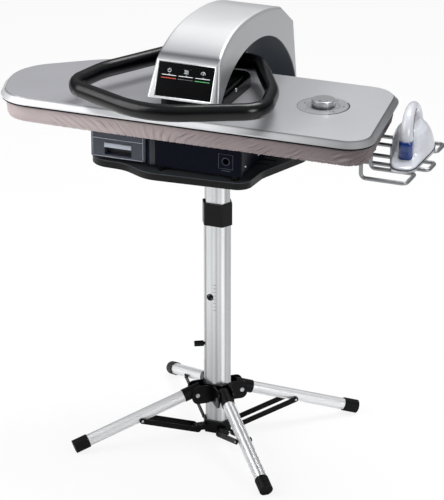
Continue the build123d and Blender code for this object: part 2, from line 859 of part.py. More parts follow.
def moved_outward(outline, amount):
    """Points that run up the front and down the rear, each moved away from the inside."""
    moved = []
    for here, (y, z) in enumerate(outline):
        before = outline[max(here - 1, 0)]
        after = outline[min(here + 1, len(outline) - 1)]
        run, rise = after[0] - before[0], after[1] - before[1]
        moved.append((y - rise / hypot(run, rise) * amount, z + run / hypot(run, rise) * amount))
    return moved


def hood_profile(inset):
    """Side view of the hood without its arch, moved inward by inset."""
    points = moved_outward(hood_outline, -inset)
    with BuildSketch() as profile:
        with BuildLine():
            Polyline(*points[:3])
            Spline(*points[2:7])
            Polyline(*points[6:], points[0])
        make_face()
    return profile.sketch


def arch_profile(outset):
    """Side view of the tunnel under the hood, widened by outset."""
    points = moved_outward(arch_outline, outset)
    floor_z = hood_tail_z - hood_rear_y
    with BuildSketch() as profile:
        with BuildLine():
            Spline(*points)
            Polyline(points[-1], (points[-1][0], floor_z), (points[0][0], floor_z), points[0])
        make_face()
    return profile.sketch


def hood_widths(inset):
    """Front view of the hood: narrow at the top and flared towards the plate."""
    top, tail = hood_top_half - inset, hood_tail_half - inset
    with BuildSketch() as widths:
        with Locations((hood_x, 0)):
            Polygon((top, hood_crown_z + overrun), (-top, hood_crown_z + overrun),
                    (-tail, hood_tail_z - overrun), (tail, hood_tail_z - overrun), align=None)
    return widths.sketch


def hood_body(inset):
    """Solid hood without its arch, moved inward by inset."""
    with BuildPart() as body:
        with BuildSketch(side(hood_x - hood_tail_half)):
            add(hood_profile(inset))
        extrude(amount=2 * hood_tail_half)
        with BuildSketch(front(hood_front_y - overrun)):
            add(hood_widths(inset))
        extrude(amount=hood_front_y - hood_rear_y - 2 * overrun, mode=Mode.INTERSECT)
    return body.part


def tunnel(outset):
    """Solid of the tunnel along X, longer than the hood is wide."""
    with BuildPart() as through:
        with BuildSketch(side(hood_x - 2 * hood_tail_half)):
            add(arch_profile(outset))
        extrude(amount=4 * hood_tail_half)
    return through.part


panel_tilt = degrees(atan2(panel_top_y - hood_front_y, panel_top_z - hood_front_z))
panel_face = Plane(
    origin=(column_x + hood_x, column_y + (hood_front_y + panel_top_y) / 2,
            (hood_front_z + panel_top_z) / 2),
    x_dir=(1, 0, 0),
    z_dir=(0, -cos(radians(panel_tilt)), sin(radians(panel_tilt))),
)
key_places = [(key_pitch * step, display_height / 2 - key_drop) for step in (-1, 0, 1)]

with BuildPart() as hood_shell:
    add(hood_body(0))
    side_rims = hood_shell.edges().filter_by(Axis.X, reverse=True).sort_by(Axis.Z)[2:]
    fillet(side_rims, hood_edge_round)
    add(hood_body(hood_wall), mode=Mode.SUBTRACT)
    add(tunnel(0), mode=Mode.SUBTRACT)
    with BuildSketch(panel_face):
        Rectangle(display_width + 2 * running_gap, display_height + 2 * running_gap)
    extrude(amount=-2 * hood_wall, mode=Mode.SUBTRACT)
save(hood_shell, "hood_shell")

with BuildPart() as hood_liner:
    add(tunnel(liner_thickness))
    add(tunnel(0), mode=Mode.SUBTRACT)
    add(hood_body(hood_wall + fit_gap), mode=Mode.INTERSECT)
    split(bisect_by=level(liner_tail_z), keep=Keep.TOP)
    block(hood_x - arm_half - fit_gap, hood_x + arm_half + fit_gap, arm_post_front - fit_gap,
          arm_post_rear + fit_gap, plate_top_z, hood_crown_z, Mode.SUBTRACT)
save(hood_liner, "hood_liner")

with BuildPart() as display_panel:
    with BuildSketch(panel_face.offset(-display_sunk)):
        Rectangle(display_width, display_height)
        with Locations(*key_places):
            Rectangle(key_width + fit_gap, key_height + fit_gap, mode=Mode.SUBTRACT)
    extrude(amount=-display_thickness)
save(display_panel, "display_panel")

for name, place in zip(("key_power", "key_steam", "key_pressure"), key_places):
    with BuildPart() as key:
        with BuildSketch(panel_face.offset(-display_sunk + key_rise)):
            with Locations(place):
                RectangleRounded(key_width, key_height, key_height / 5)
        extrude(amount=-(display_thickness + key_rise - key_travel - fit_gap))
    save(key, name)


def tail_y(z):
    """The y of the hood's straight rear edge at a height."""
    return hood_tail_y + (hood_rear_y - hood_tail_y) * (z - hood_tail_z) / (hood_rear_z - hood_tail_z)


arm_inset = hood_wall + arm_gap
arm_waist_z = liner_tail_z - 2 * arm_gap
with BuildPart() as arm_frame:
    with BuildSketch(side(hood_x - arm_half)):
        add(hood_profile(arm_inset))
        add(arch_profile(liner_thickness + arm_gap), mode=Mode.SUBTRACT)
        with BuildLine():
            Polyline((hinge_y - hinge_boss_radius, hinge_z), (hinge_y, arm_waist_z),
                     (tail_y(arm_waist_z) - arm_inset, arm_waist_z),
                     (tail_y(hood_tail_z) - arm_inset, hood_tail_z), (hinge_y + hinge_boss_radius, hinge_z),
                     close=True)
        make_face()
        with Locations((hinge_y, hinge_z)):
            Circle(hinge_boss_radius)
    extrude(amount=2 * arm_half)
    block(hood_x - arm_half, hood_x + arm_half, arm_post_front, arm_post_rear, plate_top_z + fit_gap,
          arch_top_z + 2 * liner_thickness)
    with BuildSketch(panel_face):
        Rectangle(display_width, display_height)
    extrude(amount=-display_sunk - display_thickness - arm_gap, mode=Mode.SUBTRACT)
    with BuildSketch(side(hood_x - arm_half)):
        with Locations((hinge_y, hinge_z)):
            Circle(hinge_pin_radius + running_gap)
    extrude(amount=2 * arm_half, mode=Mode.SUBTRACT)
save(arm_frame, "arm_frame")

with BuildPart() as block_apron:
    block(hood_x - block_apron_half, hood_x + block_apron_half, block_apron_front, block_apron_rear,
          plate_top_z + fit_gap, block_apron_top_z)
    fillet(block_apron.edges().filter_by(Axis.Z), block_apron_round)
    fillet(block_apron.faces().sort_by(Axis.Z)[-1].edges(), block_apron_round / 3 * 2)

with BuildPart() as arm_block:
    with BuildSketch(side(hood_x - block_half)):
        with BuildLine():
            Polyline((block_front_y, plate_top_z + fit_gap), (block_front_y, block_shoulder_z),
                     (block_peak_y - 2 * block_half, block_brow_z),
                     (block_peak_y, block_peak_z), (handle_rear_y - block_half, block_back_z),
                     (block_rear_y, block_back_z), (block_rear_y, block_shoulder_z),
                     (handle_rear_y - block_half, plate_top_z + fit_gap), close=True)
        make_face()
    extrude(amount=2 * block_half)
    fillet(arm_block.edges().filter_by(Axis.X).group_by(Axis.Z)[1:], block_half / 6)
    add(block_apron.part)
    block(hood_x - arm_half - fit_gap, hood_x + arm_half + fit_gap, arm_post_front - fit_gap,
          arm_post_rear + fit_gap, plate_top_z, hood_crown_z, Mode.SUBTRACT)
    with BuildSketch(side(hood_x - block_half)):
        with Locations((handle_rear_y, handle_z)):
            Circle(handle_axle_radius + running_gap)
    extrude(amount=2 * block_half, mode=Mode.SUBTRACT)
save(arm_block, "arm_block")

handle_rear_round = handle_rear_share * (handle_side_half + handle_rear_half)
grip_left = hood_x - block_half - fit_gap
grip_right = hood_x + block_half + fit_gap
with BuildPart() as handle_loop:
    with BuildLine(level(handle_z)):
        grip = [(grip_right, handle_rear_y),
                (handle_x + handle_rear_half + handle_rear_round / 3, handle_rear_y),
                (handle_x + handle_side_half, handle_side_y),
                (handle_x + handle_tip_half, handle_tip_y),
                (handle_x, handle_nose_y),
                (handle_x - handle_tip_half, handle_tip_y),
                (handle_x - handle_side_half, handle_side_y),
                (handle_x - handle_rear_half - handle_rear_round / 3, handle_rear_y),
                (grip_left, handle_rear_y)]
        rounds = [handle_rear_round, handle_side_round, handle_tip_round, handle_nose_round,
                  handle_tip_round, handle_side_round, handle_rear_round]
        loop_line = FilletPolyline(*grip, radius=rounds)
    with BuildSketch(side(grip_right)):
        with Locations((handle_rear_y, handle_z)):
            Ellipse(handle_tube_half_width, handle_tube_half_height)
    sweep(path=loop_line)
    with BuildSketch(side(grip_left)):
        with Locations((handle_rear_y, handle_z)):
            Circle(handle_axle_radius)
    extrude(amount=grip_right - grip_left)
save(handle_loop, "handle_loop")

with BuildPart() as hinge_bracket:
    for cheek in (hood_x - hinge_cheek_inner - hinge_cheek, hood_x + hinge_cheek_inner):
        with BuildSketch(side(cheek)):
            with Locations((hinge_y, hinge_z)):
                Circle(hinge_boss_radius)
            with BuildLine():
                Polyline((base_rear, base_top_z), (hinge_y, hinge_z + hinge_boss_radius),
                         (hinge_y, hinge_z - hinge_boss_radius), (base_rear, hinge_flange_foot_z),
                         close=True)
            make_face()
        extrude(amount=hinge_cheek)
    block(hood_x - hinge_cheek_inner, hood_x + hinge_cheek_inner, base_rear, base_rear + hinge_cheek,
          hinge_flange_foot_z, base_top_z)
    with BuildSketch(side(hood_x - hinge_cheek_inner - hinge_cheek)):
        with Locations((hinge_y, hinge_z)):
            Circle(hinge_pin_radius)
    extrude(amount=2 * (hinge_cheek_inner + hinge_cheek), mode=Mode.SUBTRACT)
save(hinge_bracket, "hinge_bracket")

with BuildPart() as hinge_pin:
    with BuildSketch(side(hood_x - hinge_cheek_inner - hinge_cheek)):
        with Locations((hinge_y, hinge_z)):
            Circle(hinge_pin_radius)
    extrude(amount=2 * (hinge_cheek_inner + hinge_cheek))
save(hinge_pin, "hinge_pin")

with BuildPart() as lift_springs:
    for inner_end, way in ((arm_half + fit_gap, 1), (-arm_half - fit_gap, -1)):
        with BuildSketch(side(hood_x + inner_end)):
            with Locations((hinge_y, hinge_z)):
                Circle(hinge_pin_radius + fit_gap + spring_thickness)
                Circle(hinge_pin_radius + fit_gap, mode=Mode.SUBTRACT)
        extrude(amount=way * (hinge_cheek_inner - arm_half - 2 * fit_gap))
save(lift_springs, "lift_springs")

with BuildPart() as iron_rack:
    board_under_z = pan_foot_z - fit_gap
    for stem, reach, centre, gap in zip(rack_stems, rack_reaches, rack_centres, rack_gaps):
        stem_x = column_x + stem
        near_y = column_y + centre - gap / 2
        far_y = column_y + centre + gap / 2
        turn_x = column_x + reach
        with BuildLine() as hairpin:
            FilletPolyline((stem_x, near_y, board_under_z), (stem_x, near_y, rack_z),
                           (turn_x, near_y, rack_z), (turn_x, far_y, rack_z),
                           (stem_x, far_y, rack_z), (stem_x, far_y, board_under_z),
                           radius=rack_bend)
        with BuildSketch(Plane(origin=(stem_x, near_y, board_under_z))):
            Circle(rack_wire_radius)
        sweep(path=hairpin.line)
        block(stem - 2 * rack_wire_radius, stem + 2 * rack_wire_radius,
              centre - gap / 2 - 2 * rack_wire_radius, centre + gap / 2 + 2 * rack_wire_radius,
              board_under_z - rack_wire_radius, board_under_z)
save(iron_rack, "iron_rack")


# Iron: a blunt sole, a domed body that narrows upward, and an arched handle, in the iron's own frame
iron_ground = Plane(
    origin=(column_x + iron_x, column_y, 0),
    x_dir=(cos(radians(iron_turn)), sin(radians(iron_turn)), 0),
    z_dir=(0, 0, 1),
)
iron_side = Plane(origin=iron_ground.origin, x_dir=iron_ground.y_dir, z_dir=iron_ground.x_dir)
iron_rear_y = iron_nose_y + iron_length
iron_foot_z = rack_z + rack_wire_radius + fit_gap


def iron_outline(share):
    """Outline of the iron's sole, shrunk about its own middle."""
    points = [(across * iron_width / 2, iron_nose_y + along * iron_length)
              for across, along in iron_curve_shares]
    with BuildSketch() as sole:
        with BuildLine():
            Spline((0, iron_nose_y), *points, (0, iron_rear_y + iron_heel_bulge), tangents=((1, 0), (-1, 0)))
            mirror(about=Plane.YZ)
        make_face()
    middle_y = iron_nose_y + iron_length * iron_middle_share
    return sole.sketch.translate((0, -middle_y, 0)).scale(share).translate((0, middle_y, 0))


def iron_block(width, near, far, foot_z, top_z, mode=Mode.ADD):
    """Block astride the iron's middle line, from near to far."""
    with BuildSketch(iron_ground.offset(foot_z)) as base:
        with Locations((0, (near + far) / 2)):
            Rectangle(width, far - near)
    extrude(base.sketch, amount=top_z - foot_z, mode=mode)


with BuildPart() as iron_sole:
    with BuildSketch(iron_ground.offset(iron_foot_z)):
        add(iron_outline(1))
    extrude(amount=iron_sole_thickness)
save(iron_sole, "iron_sole")

iron_handle_y = iron_nose_y + iron_handle_front
iron_tank_front = iron_handle_y - iron_tank_length / 2
trigger_front = iron_handle_y + trigger_set_back
trigger_top_z = iron_foot_z + iron_handle_top - iron_handle_radius
with BuildPart() as iron_shell:
    with BuildSketch(iron_ground.offset(iron_foot_z + iron_sole_thickness + fit_gap)):
        add(iron_outline(iron_foot_share))
    with BuildSketch(iron_ground.offset(iron_foot_z + iron_shoulder_height)):
        add(iron_outline(iron_shoulder_share))
    with BuildSketch(iron_ground.offset(iron_foot_z + iron_body_height)):
        add(iron_outline(iron_crown_share))
    loft(ruled=True)
    with BuildLine(iron_side) as arch_line:
        FilletPolyline((iron_handle_y, iron_foot_z + iron_shoulder_height),
                       (iron_handle_y + iron_handle_lean, iron_foot_z + iron_handle_top),
                       (iron_nose_y + iron_handle_rear, iron_foot_z + iron_handle_top - iron_handle_radius),
                       (iron_nose_y + iron_handle_rear, iron_foot_z + iron_shoulder_height),
                       radius=2 * iron_handle_radius)
    arch_foot = Plane(origin=arch_line.line @ 0, z_dir=arch_line.line % 0, x_dir=iron_ground.x_dir)
    with BuildSketch(arch_foot):
        Circle(iron_handle_radius)
    sweep(path=arch_line.line)
    iron_block(iron_tank_width + 2 * running_gap, iron_tank_front - running_gap,
               iron_tank_front + iron_tank_length + running_gap, iron_foot_z + iron_tank_foot,
               iron_foot_z + iron_tank_top, Mode.SUBTRACT)
    iron_block(trigger_width + 2 * fit_gap, trigger_front - fit_gap, trigger_front + trigger_length + fit_gap,
               trigger_top_z - trigger_height, trigger_top_z + trigger_travel + fit_gap, Mode.SUBTRACT)
save(iron_shell, "iron_shell")

with BuildPart() as iron_tank:
    iron_block(iron_tank_width, iron_tank_front, iron_tank_front + iron_tank_length,
               iron_foot_z + iron_tank_foot + running_gap, iron_foot_z + iron_tank_top - running_gap)
    fillet(iron_tank.edges().filter_by(Axis.Z), iron_tank_width / 5)
save(iron_tank, "iron_tank")

with BuildPart() as steam_trigger:
    iron_block(trigger_width, trigger_front, trigger_front + trigger_length,
               trigger_top_z - trigger_height, trigger_top_z)
    fillet(steam_trigger.faces().sort_by(Axis.Z)[0].edges(), trigger_width / 4)
save(steam_trigger, "steam_trigger")

print(f"leg slope {leg_slope:.2f} deg, strut length {strut_length:.2f}, strut slope {strut_slope:.2f} deg")
print(f"brace travel {brace_travel:.2f}, strut turn {strut_turn:.2f} deg")
print(f"column axis at x {column_x:.2f}, y {column_y:.2f}")
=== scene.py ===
import json
from math import cos, pi, radians, sin, tau

import bmesh
import bpy
from bpy.props import FloatProperty, FloatVectorProperty, IntProperty, PointerProperty
from mathutils import Matrix, Vector, geometry, noise


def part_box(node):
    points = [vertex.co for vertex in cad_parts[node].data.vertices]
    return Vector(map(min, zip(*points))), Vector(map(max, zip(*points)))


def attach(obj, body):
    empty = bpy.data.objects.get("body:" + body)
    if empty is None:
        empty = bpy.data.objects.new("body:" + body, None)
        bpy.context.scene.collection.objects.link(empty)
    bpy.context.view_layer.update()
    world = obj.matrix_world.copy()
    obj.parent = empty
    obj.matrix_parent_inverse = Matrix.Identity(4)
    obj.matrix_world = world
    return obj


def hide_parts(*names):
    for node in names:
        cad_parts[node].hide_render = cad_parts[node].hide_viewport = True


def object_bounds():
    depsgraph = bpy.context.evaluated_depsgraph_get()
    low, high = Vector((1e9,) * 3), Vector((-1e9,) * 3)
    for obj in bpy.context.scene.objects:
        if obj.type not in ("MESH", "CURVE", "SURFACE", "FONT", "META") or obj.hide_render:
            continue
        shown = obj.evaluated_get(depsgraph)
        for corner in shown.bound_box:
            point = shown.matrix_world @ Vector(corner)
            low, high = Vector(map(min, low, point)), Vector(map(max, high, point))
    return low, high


bl_info = {
    "name": "Steam ironing press",
    "version": (1, 0, 0),
    "blender": (4, 5, 0),
    "location": "View3D > Sidebar > Press",
    "description": "Finishes a steam ironing press on its folding stand, and sets up its studio",
    "category": "Object",
}

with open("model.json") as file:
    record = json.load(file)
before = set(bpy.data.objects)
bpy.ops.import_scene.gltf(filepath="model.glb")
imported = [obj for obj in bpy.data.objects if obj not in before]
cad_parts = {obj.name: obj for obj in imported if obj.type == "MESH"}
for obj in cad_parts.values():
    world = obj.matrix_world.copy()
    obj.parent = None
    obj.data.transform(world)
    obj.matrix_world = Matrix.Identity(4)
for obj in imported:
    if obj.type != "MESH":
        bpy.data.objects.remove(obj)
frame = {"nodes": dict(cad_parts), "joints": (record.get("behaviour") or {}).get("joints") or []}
cad_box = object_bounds()
joints = {joint["name"]: joint for joint in frame["joints"]}
plate_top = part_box("plate_cover")[1].z
SQUARE = ((-1, -1), (1, -1), (1, 1), (-1, 1))


# Small helpers

def middle(node):
    """Centre of a node's box."""
    low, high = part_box(node)
    return (low + high) / 2


def reach(node, origin, way):
    """How far a node stands out from an origin in one direction."""
    return max((vert.co - origin).dot(way) for vert in frame["nodes"][node].data.vertices)


def shade(red, green, blue):
    """Scene-linear colour of a display colour given as 0 to 255."""
    return tuple((value / 255) ** 2.2 for value in (red, green, blue)) + (1.0,)


def pivot(joint):
    """Place of a hinge."""
    return Vector(joints[joint]["pos_m"])


def axis(joint):
    """Direction of a joint."""
    return Vector(joints[joint]["axis"]).normalized()


def swing(fraction, low, high):
    """Value between low and high."""
    return low + (high - low) * fraction


def held(value):
    """Value kept between 0 and 1."""
    return min(1, max(0, value))


def four(stem):
    """Names of the four alike nodes."""
    return [f"{stem}_{number}" for number in range(1, 5)]


# Materials

class Wires:
    """A shader tree under construction."""

    def __init__(self, tree):
        self.nodes = tree.nodes
        self.links = tree.links

    def add(self, kind, **settings):
        node = self.nodes.new("ShaderNode" + kind)
        for key, value in settings.items():
            setattr(node, key, value)
        return node

    def join(self, output, target):
        self.links.new(output, target)

    def split(self, kind, output):
        """X, Y and Z of a node's vector."""
        parts = self.add("SeparateXYZ")
        self.join(self.add(kind).outputs[output], parts.inputs["Vector"])
        return parts.outputs

    def spread(self, value, low, high, start=0.0, end=1.0):
        """Value from start to end, mapped to low to high."""
        node = self.add("MapRange")
        self.join(value, node.inputs["Value"])
        for socket, number in zip(("From Min", "From Max", "To Min", "To Max"), (start, end, low, high)):
            node.inputs[socket].default_value = number
        return node.outputs["Result"]

    def combine(self, operation, first, second):
        node = self.add("Math", operation=operation)
        for socket, value in zip(node.inputs, (first, second)):
            if isinstance(value, (int, float)):
                socket.default_value = value
            else:
                self.join(value, socket)
        return node.outputs["Value"]


class Look(Wires):
    """A material under construction."""

    def __init__(self, name, colour, roughness, metallic=0.0, coat=0.0):
        self.material = bpy.data.materials.new(name)
        self.material.use_nodes = True
        super().__init__(self.material.node_tree)
        self.shader = self.nodes["Principled BSDF"]
        self.colour = shade(*colour) if isinstance(colour, tuple) else colour[:] + (1,)
        self.set("Base Color", self.colour)
        self.set("Roughness", roughness)
        self.set("Metallic", metallic)
        self.set("Coat Weight", coat)
        self.bumped = None

    def set(self, socket, value):
        self.shader.inputs[socket].default_value = value

    def place(self, source="Object", scale=(1, 1, 1)):
        """Coordinates of the piece, stretched."""
        mapping = self.add("Mapping")
        mapping.inputs["Scale"].default_value = scale
        self.join(self.add("TexCoord").outputs[source], mapping.inputs["Vector"])
        return mapping.outputs["Vector"]

    def grain(self, scale, detail=3.0, stretch=(1, 1, 1)):
        """Noise from 0 to 1, so many waves to the metre."""
        texture = self.add("TexNoise")
        texture.inputs["Scale"].default_value = scale
        texture.inputs["Detail"].default_value = detail
        self.join(self.place(scale=stretch), texture.inputs["Vector"])
        return texture.outputs["Fac"]

    def wave(self, scale, direction):
        """Straight even ridges from 0 to 1, along the cloth."""
        texture = self.add("TexWave", bands_direction=direction)
        texture.inputs["Scale"].default_value = scale
        self.join(self.place("UV"), texture.inputs["Vector"])
        return texture.outputs["Fac"]

    def tint(self, other, value, *more):
        """The base colour goes over to another one with the product of the values."""
        for factor in more:
            value = self.combine("MULTIPLY", value, factor)
        node = self.add("Mix", data_type="RGBA")
        target = self.shader.inputs["Base Color"]
        if target.is_linked:
            self.join(target.links[0].from_socket, node.inputs["A"])
        else:
            node.inputs["A"].default_value = self.colour
        node.inputs["B"].default_value = shade(*other)
        self.join(value, node.inputs["Factor"])
        self.join(node.outputs["Result"], target)

    def roughen(self, value, low, high):
        self.join(self.spread(value, low, high), self.shader.inputs["Roughness"])

    def bump(self, value, depth):
        """Height value times depth in metres."""
        node = self.add("Bump")
        node.inputs["Distance"].default_value = depth
        self.join(value, node.inputs["Height"])
        if self.bumped:
            self.join(self.bumped, node.inputs["Normal"])
        self.bumped = node.outputs["Normal"]
        self.join(self.bumped, self.shader.inputs["Normal"])


def plain(name, colour, roughness, metallic=0.0, coat=0.0, specular=0.5, rough=None, relief=None, mottle=None,
          glow=0.0):
    """Maker of a look of one colour. Each noise starts with its waves to the metre and its detail; rough
    goes on with the roughness from and to, relief with a depth, mottle with a share and a second colour."""
    def maker(finishes):
        look = Look(name, getattr(finishes, colour) if isinstance(colour, str) else colour, roughness,
                    metallic, coat)
        look.set("Specular IOR Level", specular)
        if relief:
            look.bump(look.grain(*relief[:2]), relief[2])
        if rough:
            look.roughen(look.grain(*rough[:2]), *rough[2:])
        if mottle:
            look.tint(mottle[3], look.spread(look.grain(*mottle[:2]), 0, mottle[2]))
        if glow:
            look.set("Emission Color", look.colour)
            look.set("Emission Strength", glow)
        return look
    return maker


def satin_silver(finishes):
    """Silver paint, with a painted highlight on the crown and painted shade in the crease over the panel,
    beside the panel and on the front corner.
    """
    look = Look("satin silver", finishes.silver, 0.34, 0.55, 0.25)
    look.set("Coat Roughness", 0.18)
    place = look.split("TexCoord", "Object")
    slant = look.split("NewGeometry", "Normal")
    panel_right, panel_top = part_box("display_panel")[1].x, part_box("display_panel")[1].z
    crease = panel_top + 0.0165
    # painted highlight on the faces that look up
    look.tint((240, 241, 243), look.spread(slant["Z"], 0, 0.9, 0.72, 0.97))
    # painted shade in the crease over the panel, darkest just above it
    facing = look.spread(slant["X"], 1, 0, 0.3, 0.6)
    above = look.spread(place["Z"], 0, 1, panel_top + 0.003, crease)
    look.tint((122, 123, 127), facing, above, look.spread(place["Z"], 0.8, 0, crease, crease + 0.0395))
    look.tint((80, 81, 85), facing, above, look.spread(place["Z"], 1, 0, crease, crease + 0.0065))
    # painted shade on the strip right of the panel
    beside = look.spread(place["X"], 0, 0.8, panel_right + 0.003, panel_right + 0.01)
    look.tint((92, 93, 97), facing, beside, look.spread(place["Z"], 1, 0, panel_top - 0.01, panel_top + 0.02))
    # painted shade on the low front corner of the flank
    flank = look.spread(slant["X"], 0, 0.9, 0.6, 0.9)
    near = look.spread(place["Y"], 1, 0, -0.1, -0.01)
    look.tint((98, 99, 103), flank, near,
              look.spread(place["Z"], 1, 0, plate_top + 0.046, plate_top + 0.136))
    sparkle = look.grain(2600, 1)
    look.tint((226, 227, 230), look.spread(sparkle, 0, 0.15, 0.45, 0.75))
    look.tint((150, 152, 156), look.spread(look.grain(5), 0, 0.12))
    look.bump(sparkle, 0.00002)
    look.roughen(look.grain(9, 5), 0.3, 0.42)
    return look


def plate_silver(finishes):
    """Mid grey on top, with painted light making it brighter to the right; the edge is a polished bright band
    with more painted highlight at the left and painted shade at the right.
    """
    look = Look("plate silver", (180, 180, 186), 0.34, 0.55, 0.15)
    place = look.split("TexCoord", "Object")
    edge = look.spread(look.split("NewGeometry", "Normal")["Z"], 0, 1, 0.95, 0.8)
    # painted light: the top grows brighter to the right
    look.tint((208, 209, 212), look.spread(place["X"], 0, 0.75, 0, 0.3))
    # the edge's brightness: partly a polished rim, partly a painted highlight
    look.tint((222, 223, 226), edge)
    # painted shade dims the edge to the right
    look.tint((116, 118, 120), edge, look.spread(place["X"], 0, 0.85, 0.05, 0.4))
    look.tint((104, 105, 109), edge,
              look.spread(place["Z"], 0, 0.8, plate_top - 0.0045, plate_top - 0.0015))
    sparkle = look.grain(2600, 1)
    look.tint((206, 207, 211), look.spread(sparkle, 0, 0.2, 0.45, 0.75))
    look.bump(sparkle, 0.00002)
    look.roughen(look.grain(9, 5), 0.3, 0.4)
    return look


def tank_smoke(finishes):
    look = Look("tank smoke", (70, 76, 88), 0.2)
    look.set("Transmission Weight", 0.35)
    look.set("IOR", 1.45)
    look.tint((62, 68, 80), look.spread(look.grain(9, 3, (1, 1, 4)), 0, 0.6))
    look.roughen(look.grain(35, 3), 0.16, 0.28)
    return look


def tray_charcoal(finishes):
    """Charcoal plastic, black below the rim."""
    look = plain("tray charcoal", (72, 76, 80), 0.38, specular=0.22, rough=(15, 4, 0.32, 0.46),
                 relief=(1400, 3, 0.00008), mottle=(7, 3, 0.4, (50, 54, 58)))(finishes)
    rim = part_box("tray")[1].z
    height = look.split("TexCoord", "Object")["Z"]
    look.tint((9, 10, 12), look.spread(height, 0, 1, rim - 0.0017, rim - 0.002))
    return look


def tube_alloy(finishes):
    """Drawn tube with bands along it: painted shade at the left edge, then a dark, a bright and a dark line
    of painted reflection.
    """
    look = Look("drawn alloy", finishes.alloy, 0.22, 0.9)
    look.tint((136, 138, 141), look.spread(look.grain(55, 2, (1, 1, 0.01)), 0, 0.5, 0.45, 0.62))
    place = look.split("TexCoord", "Object")
    across = look.combine("ADD", look.combine("MULTIPLY", place["X"], 0.929),
                          look.combine("MULTIPLY", place["Y"], 0.371))
    # painted shade on the left facet
    look.tint((112, 113, 115), look.spread(across, 0.8, 0, -0.0445, -0.0425))
    # painted reflection: a dark, a bright and a dark line
    for start, top, end, strength, colour in ((-0.024, -0.018, -0.012, 0.6, (132, 133, 135)),
                                              (-0.008, -0.001, 0.0045, 1.0, (254, 254, 255)),
                                              (0.003, 0.006, 0.009, 0.5, (120, 121, 123))):
        look.tint(colour, look.spread(across, 0, 1, start, top), look.spread(across, strength, 0, top, end))
    drawn = look.grain(320, 4, (1, 1, 0.02))
    look.tint((168, 170, 173), look.spread(drawn, 0, 0.3, 0.35, 0.7))
    look.roughen(drawn, 0.18, 0.3)
    look.bump(drawn, 0.00001)
    return look


def brushed_dial(finishes):
    """Brushed metal, with painted shade at the knob's foot."""
    look = Look("brushed dial", (192, 194, 197), 0.32, 0.8)
    rise = look.split("TexCoord", "Object")["Z"]
    # painted shade at the knob's foot
    look.tint((70, 72, 75), look.spread(rise, 0.75, 0, plate_top + 0.0045, plate_top + 0.009))
    brushed = look.grain(420, 3, (1, 0.05, 1))
    look.roughen(brushed, 0.22, 0.38)
    look.bump(brushed, 0.00002)
    return look


def cover_cloth(finishes):
    """Woven cloth, with painted shade darkening it to the right and in the folds, and a painted highlight on
    the fold crests.
    """
    look = Look("cover cloth", finishes.cloth, 0.85)
    look.set("Sheen Weight", 0.25)
    weave = look.combine("MULTIPLY", look.wave(330, "X"), look.wave(330, "Y"))
    look.tint((152, 138, 138), look.spread(look.grain(28, 5), 0, 0.3))
    place = look.split("TexCoord", "Object")
    # painted shade: darker to the right
    look.tint((136, 122, 124), look.spread(place["X"], 0, 0.45, -0.35, 0.05))
    look.tint((74, 66, 68), look.spread(place["X"], 0, 0.8, -0.05, 0.42))
    fold = look.add("Attribute", attribute_name="fold").outputs["Fac"]
    # painted shade in the folds' hollows
    look.tint((70, 58, 60), look.spread(fold, 0.85, 0, 0.0, 0.6))
    # painted highlight on the folds' crests
    look.tint((214, 202, 202), look.spread(fold, 0, 0.3, 0.85, 1.0))
    look.tint((120, 104, 102), look.spread(weave, 0.12, 0))
    look.bump(weave, 0.0003)
    look.bump(look.grain(90, 4), 0.0006)
    return look


def iron_white(finishes):
    """White plastic, with the low left flank in shade."""
    look = plain("iron white", (200, 202, 209), 0.2, coat=0.3, rough=(18, 4, 0.12, 0.24),
                 mottle=(14, 3, 0.25, (196, 200, 210)))(finishes)
    look.set("Subsurface Weight", 0.05)
    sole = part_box("iron_sole")[1].z
    left = look.spread(look.split("NewGeometry", "Normal")["X"], 0.85, 0, -0.8, -0.25)
    height = look.split("TexCoord", "Object")["Z"]
    look.tint((76, 80, 98), left, look.spread(height, 1, 0, sole + 0.035, sole + 0.065))
    return look


def iron_blue(finishes):
    """Clear blue plastic with painted shade on its left side."""
    look = Look("iron blue", finishes.blue, 0.1, 0, 0.5)
    look.set("Transmission Weight", 0.15)
    look.tint((6, 30, 84), look.spread(look.grain(20, 2, (1, 1, 3)), 0, 0.6))
    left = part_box("iron_tank")[0].x
    across = look.split("TexCoord", "Object")["X"]
    # painted shade on the left side
    look.tint((6, 14, 48), look.spread(across, 0.7, 0, left + 0.0065, left + 0.0145))
    look.roughen(look.grain(40, 3), 0.08, 0.18)
    return look


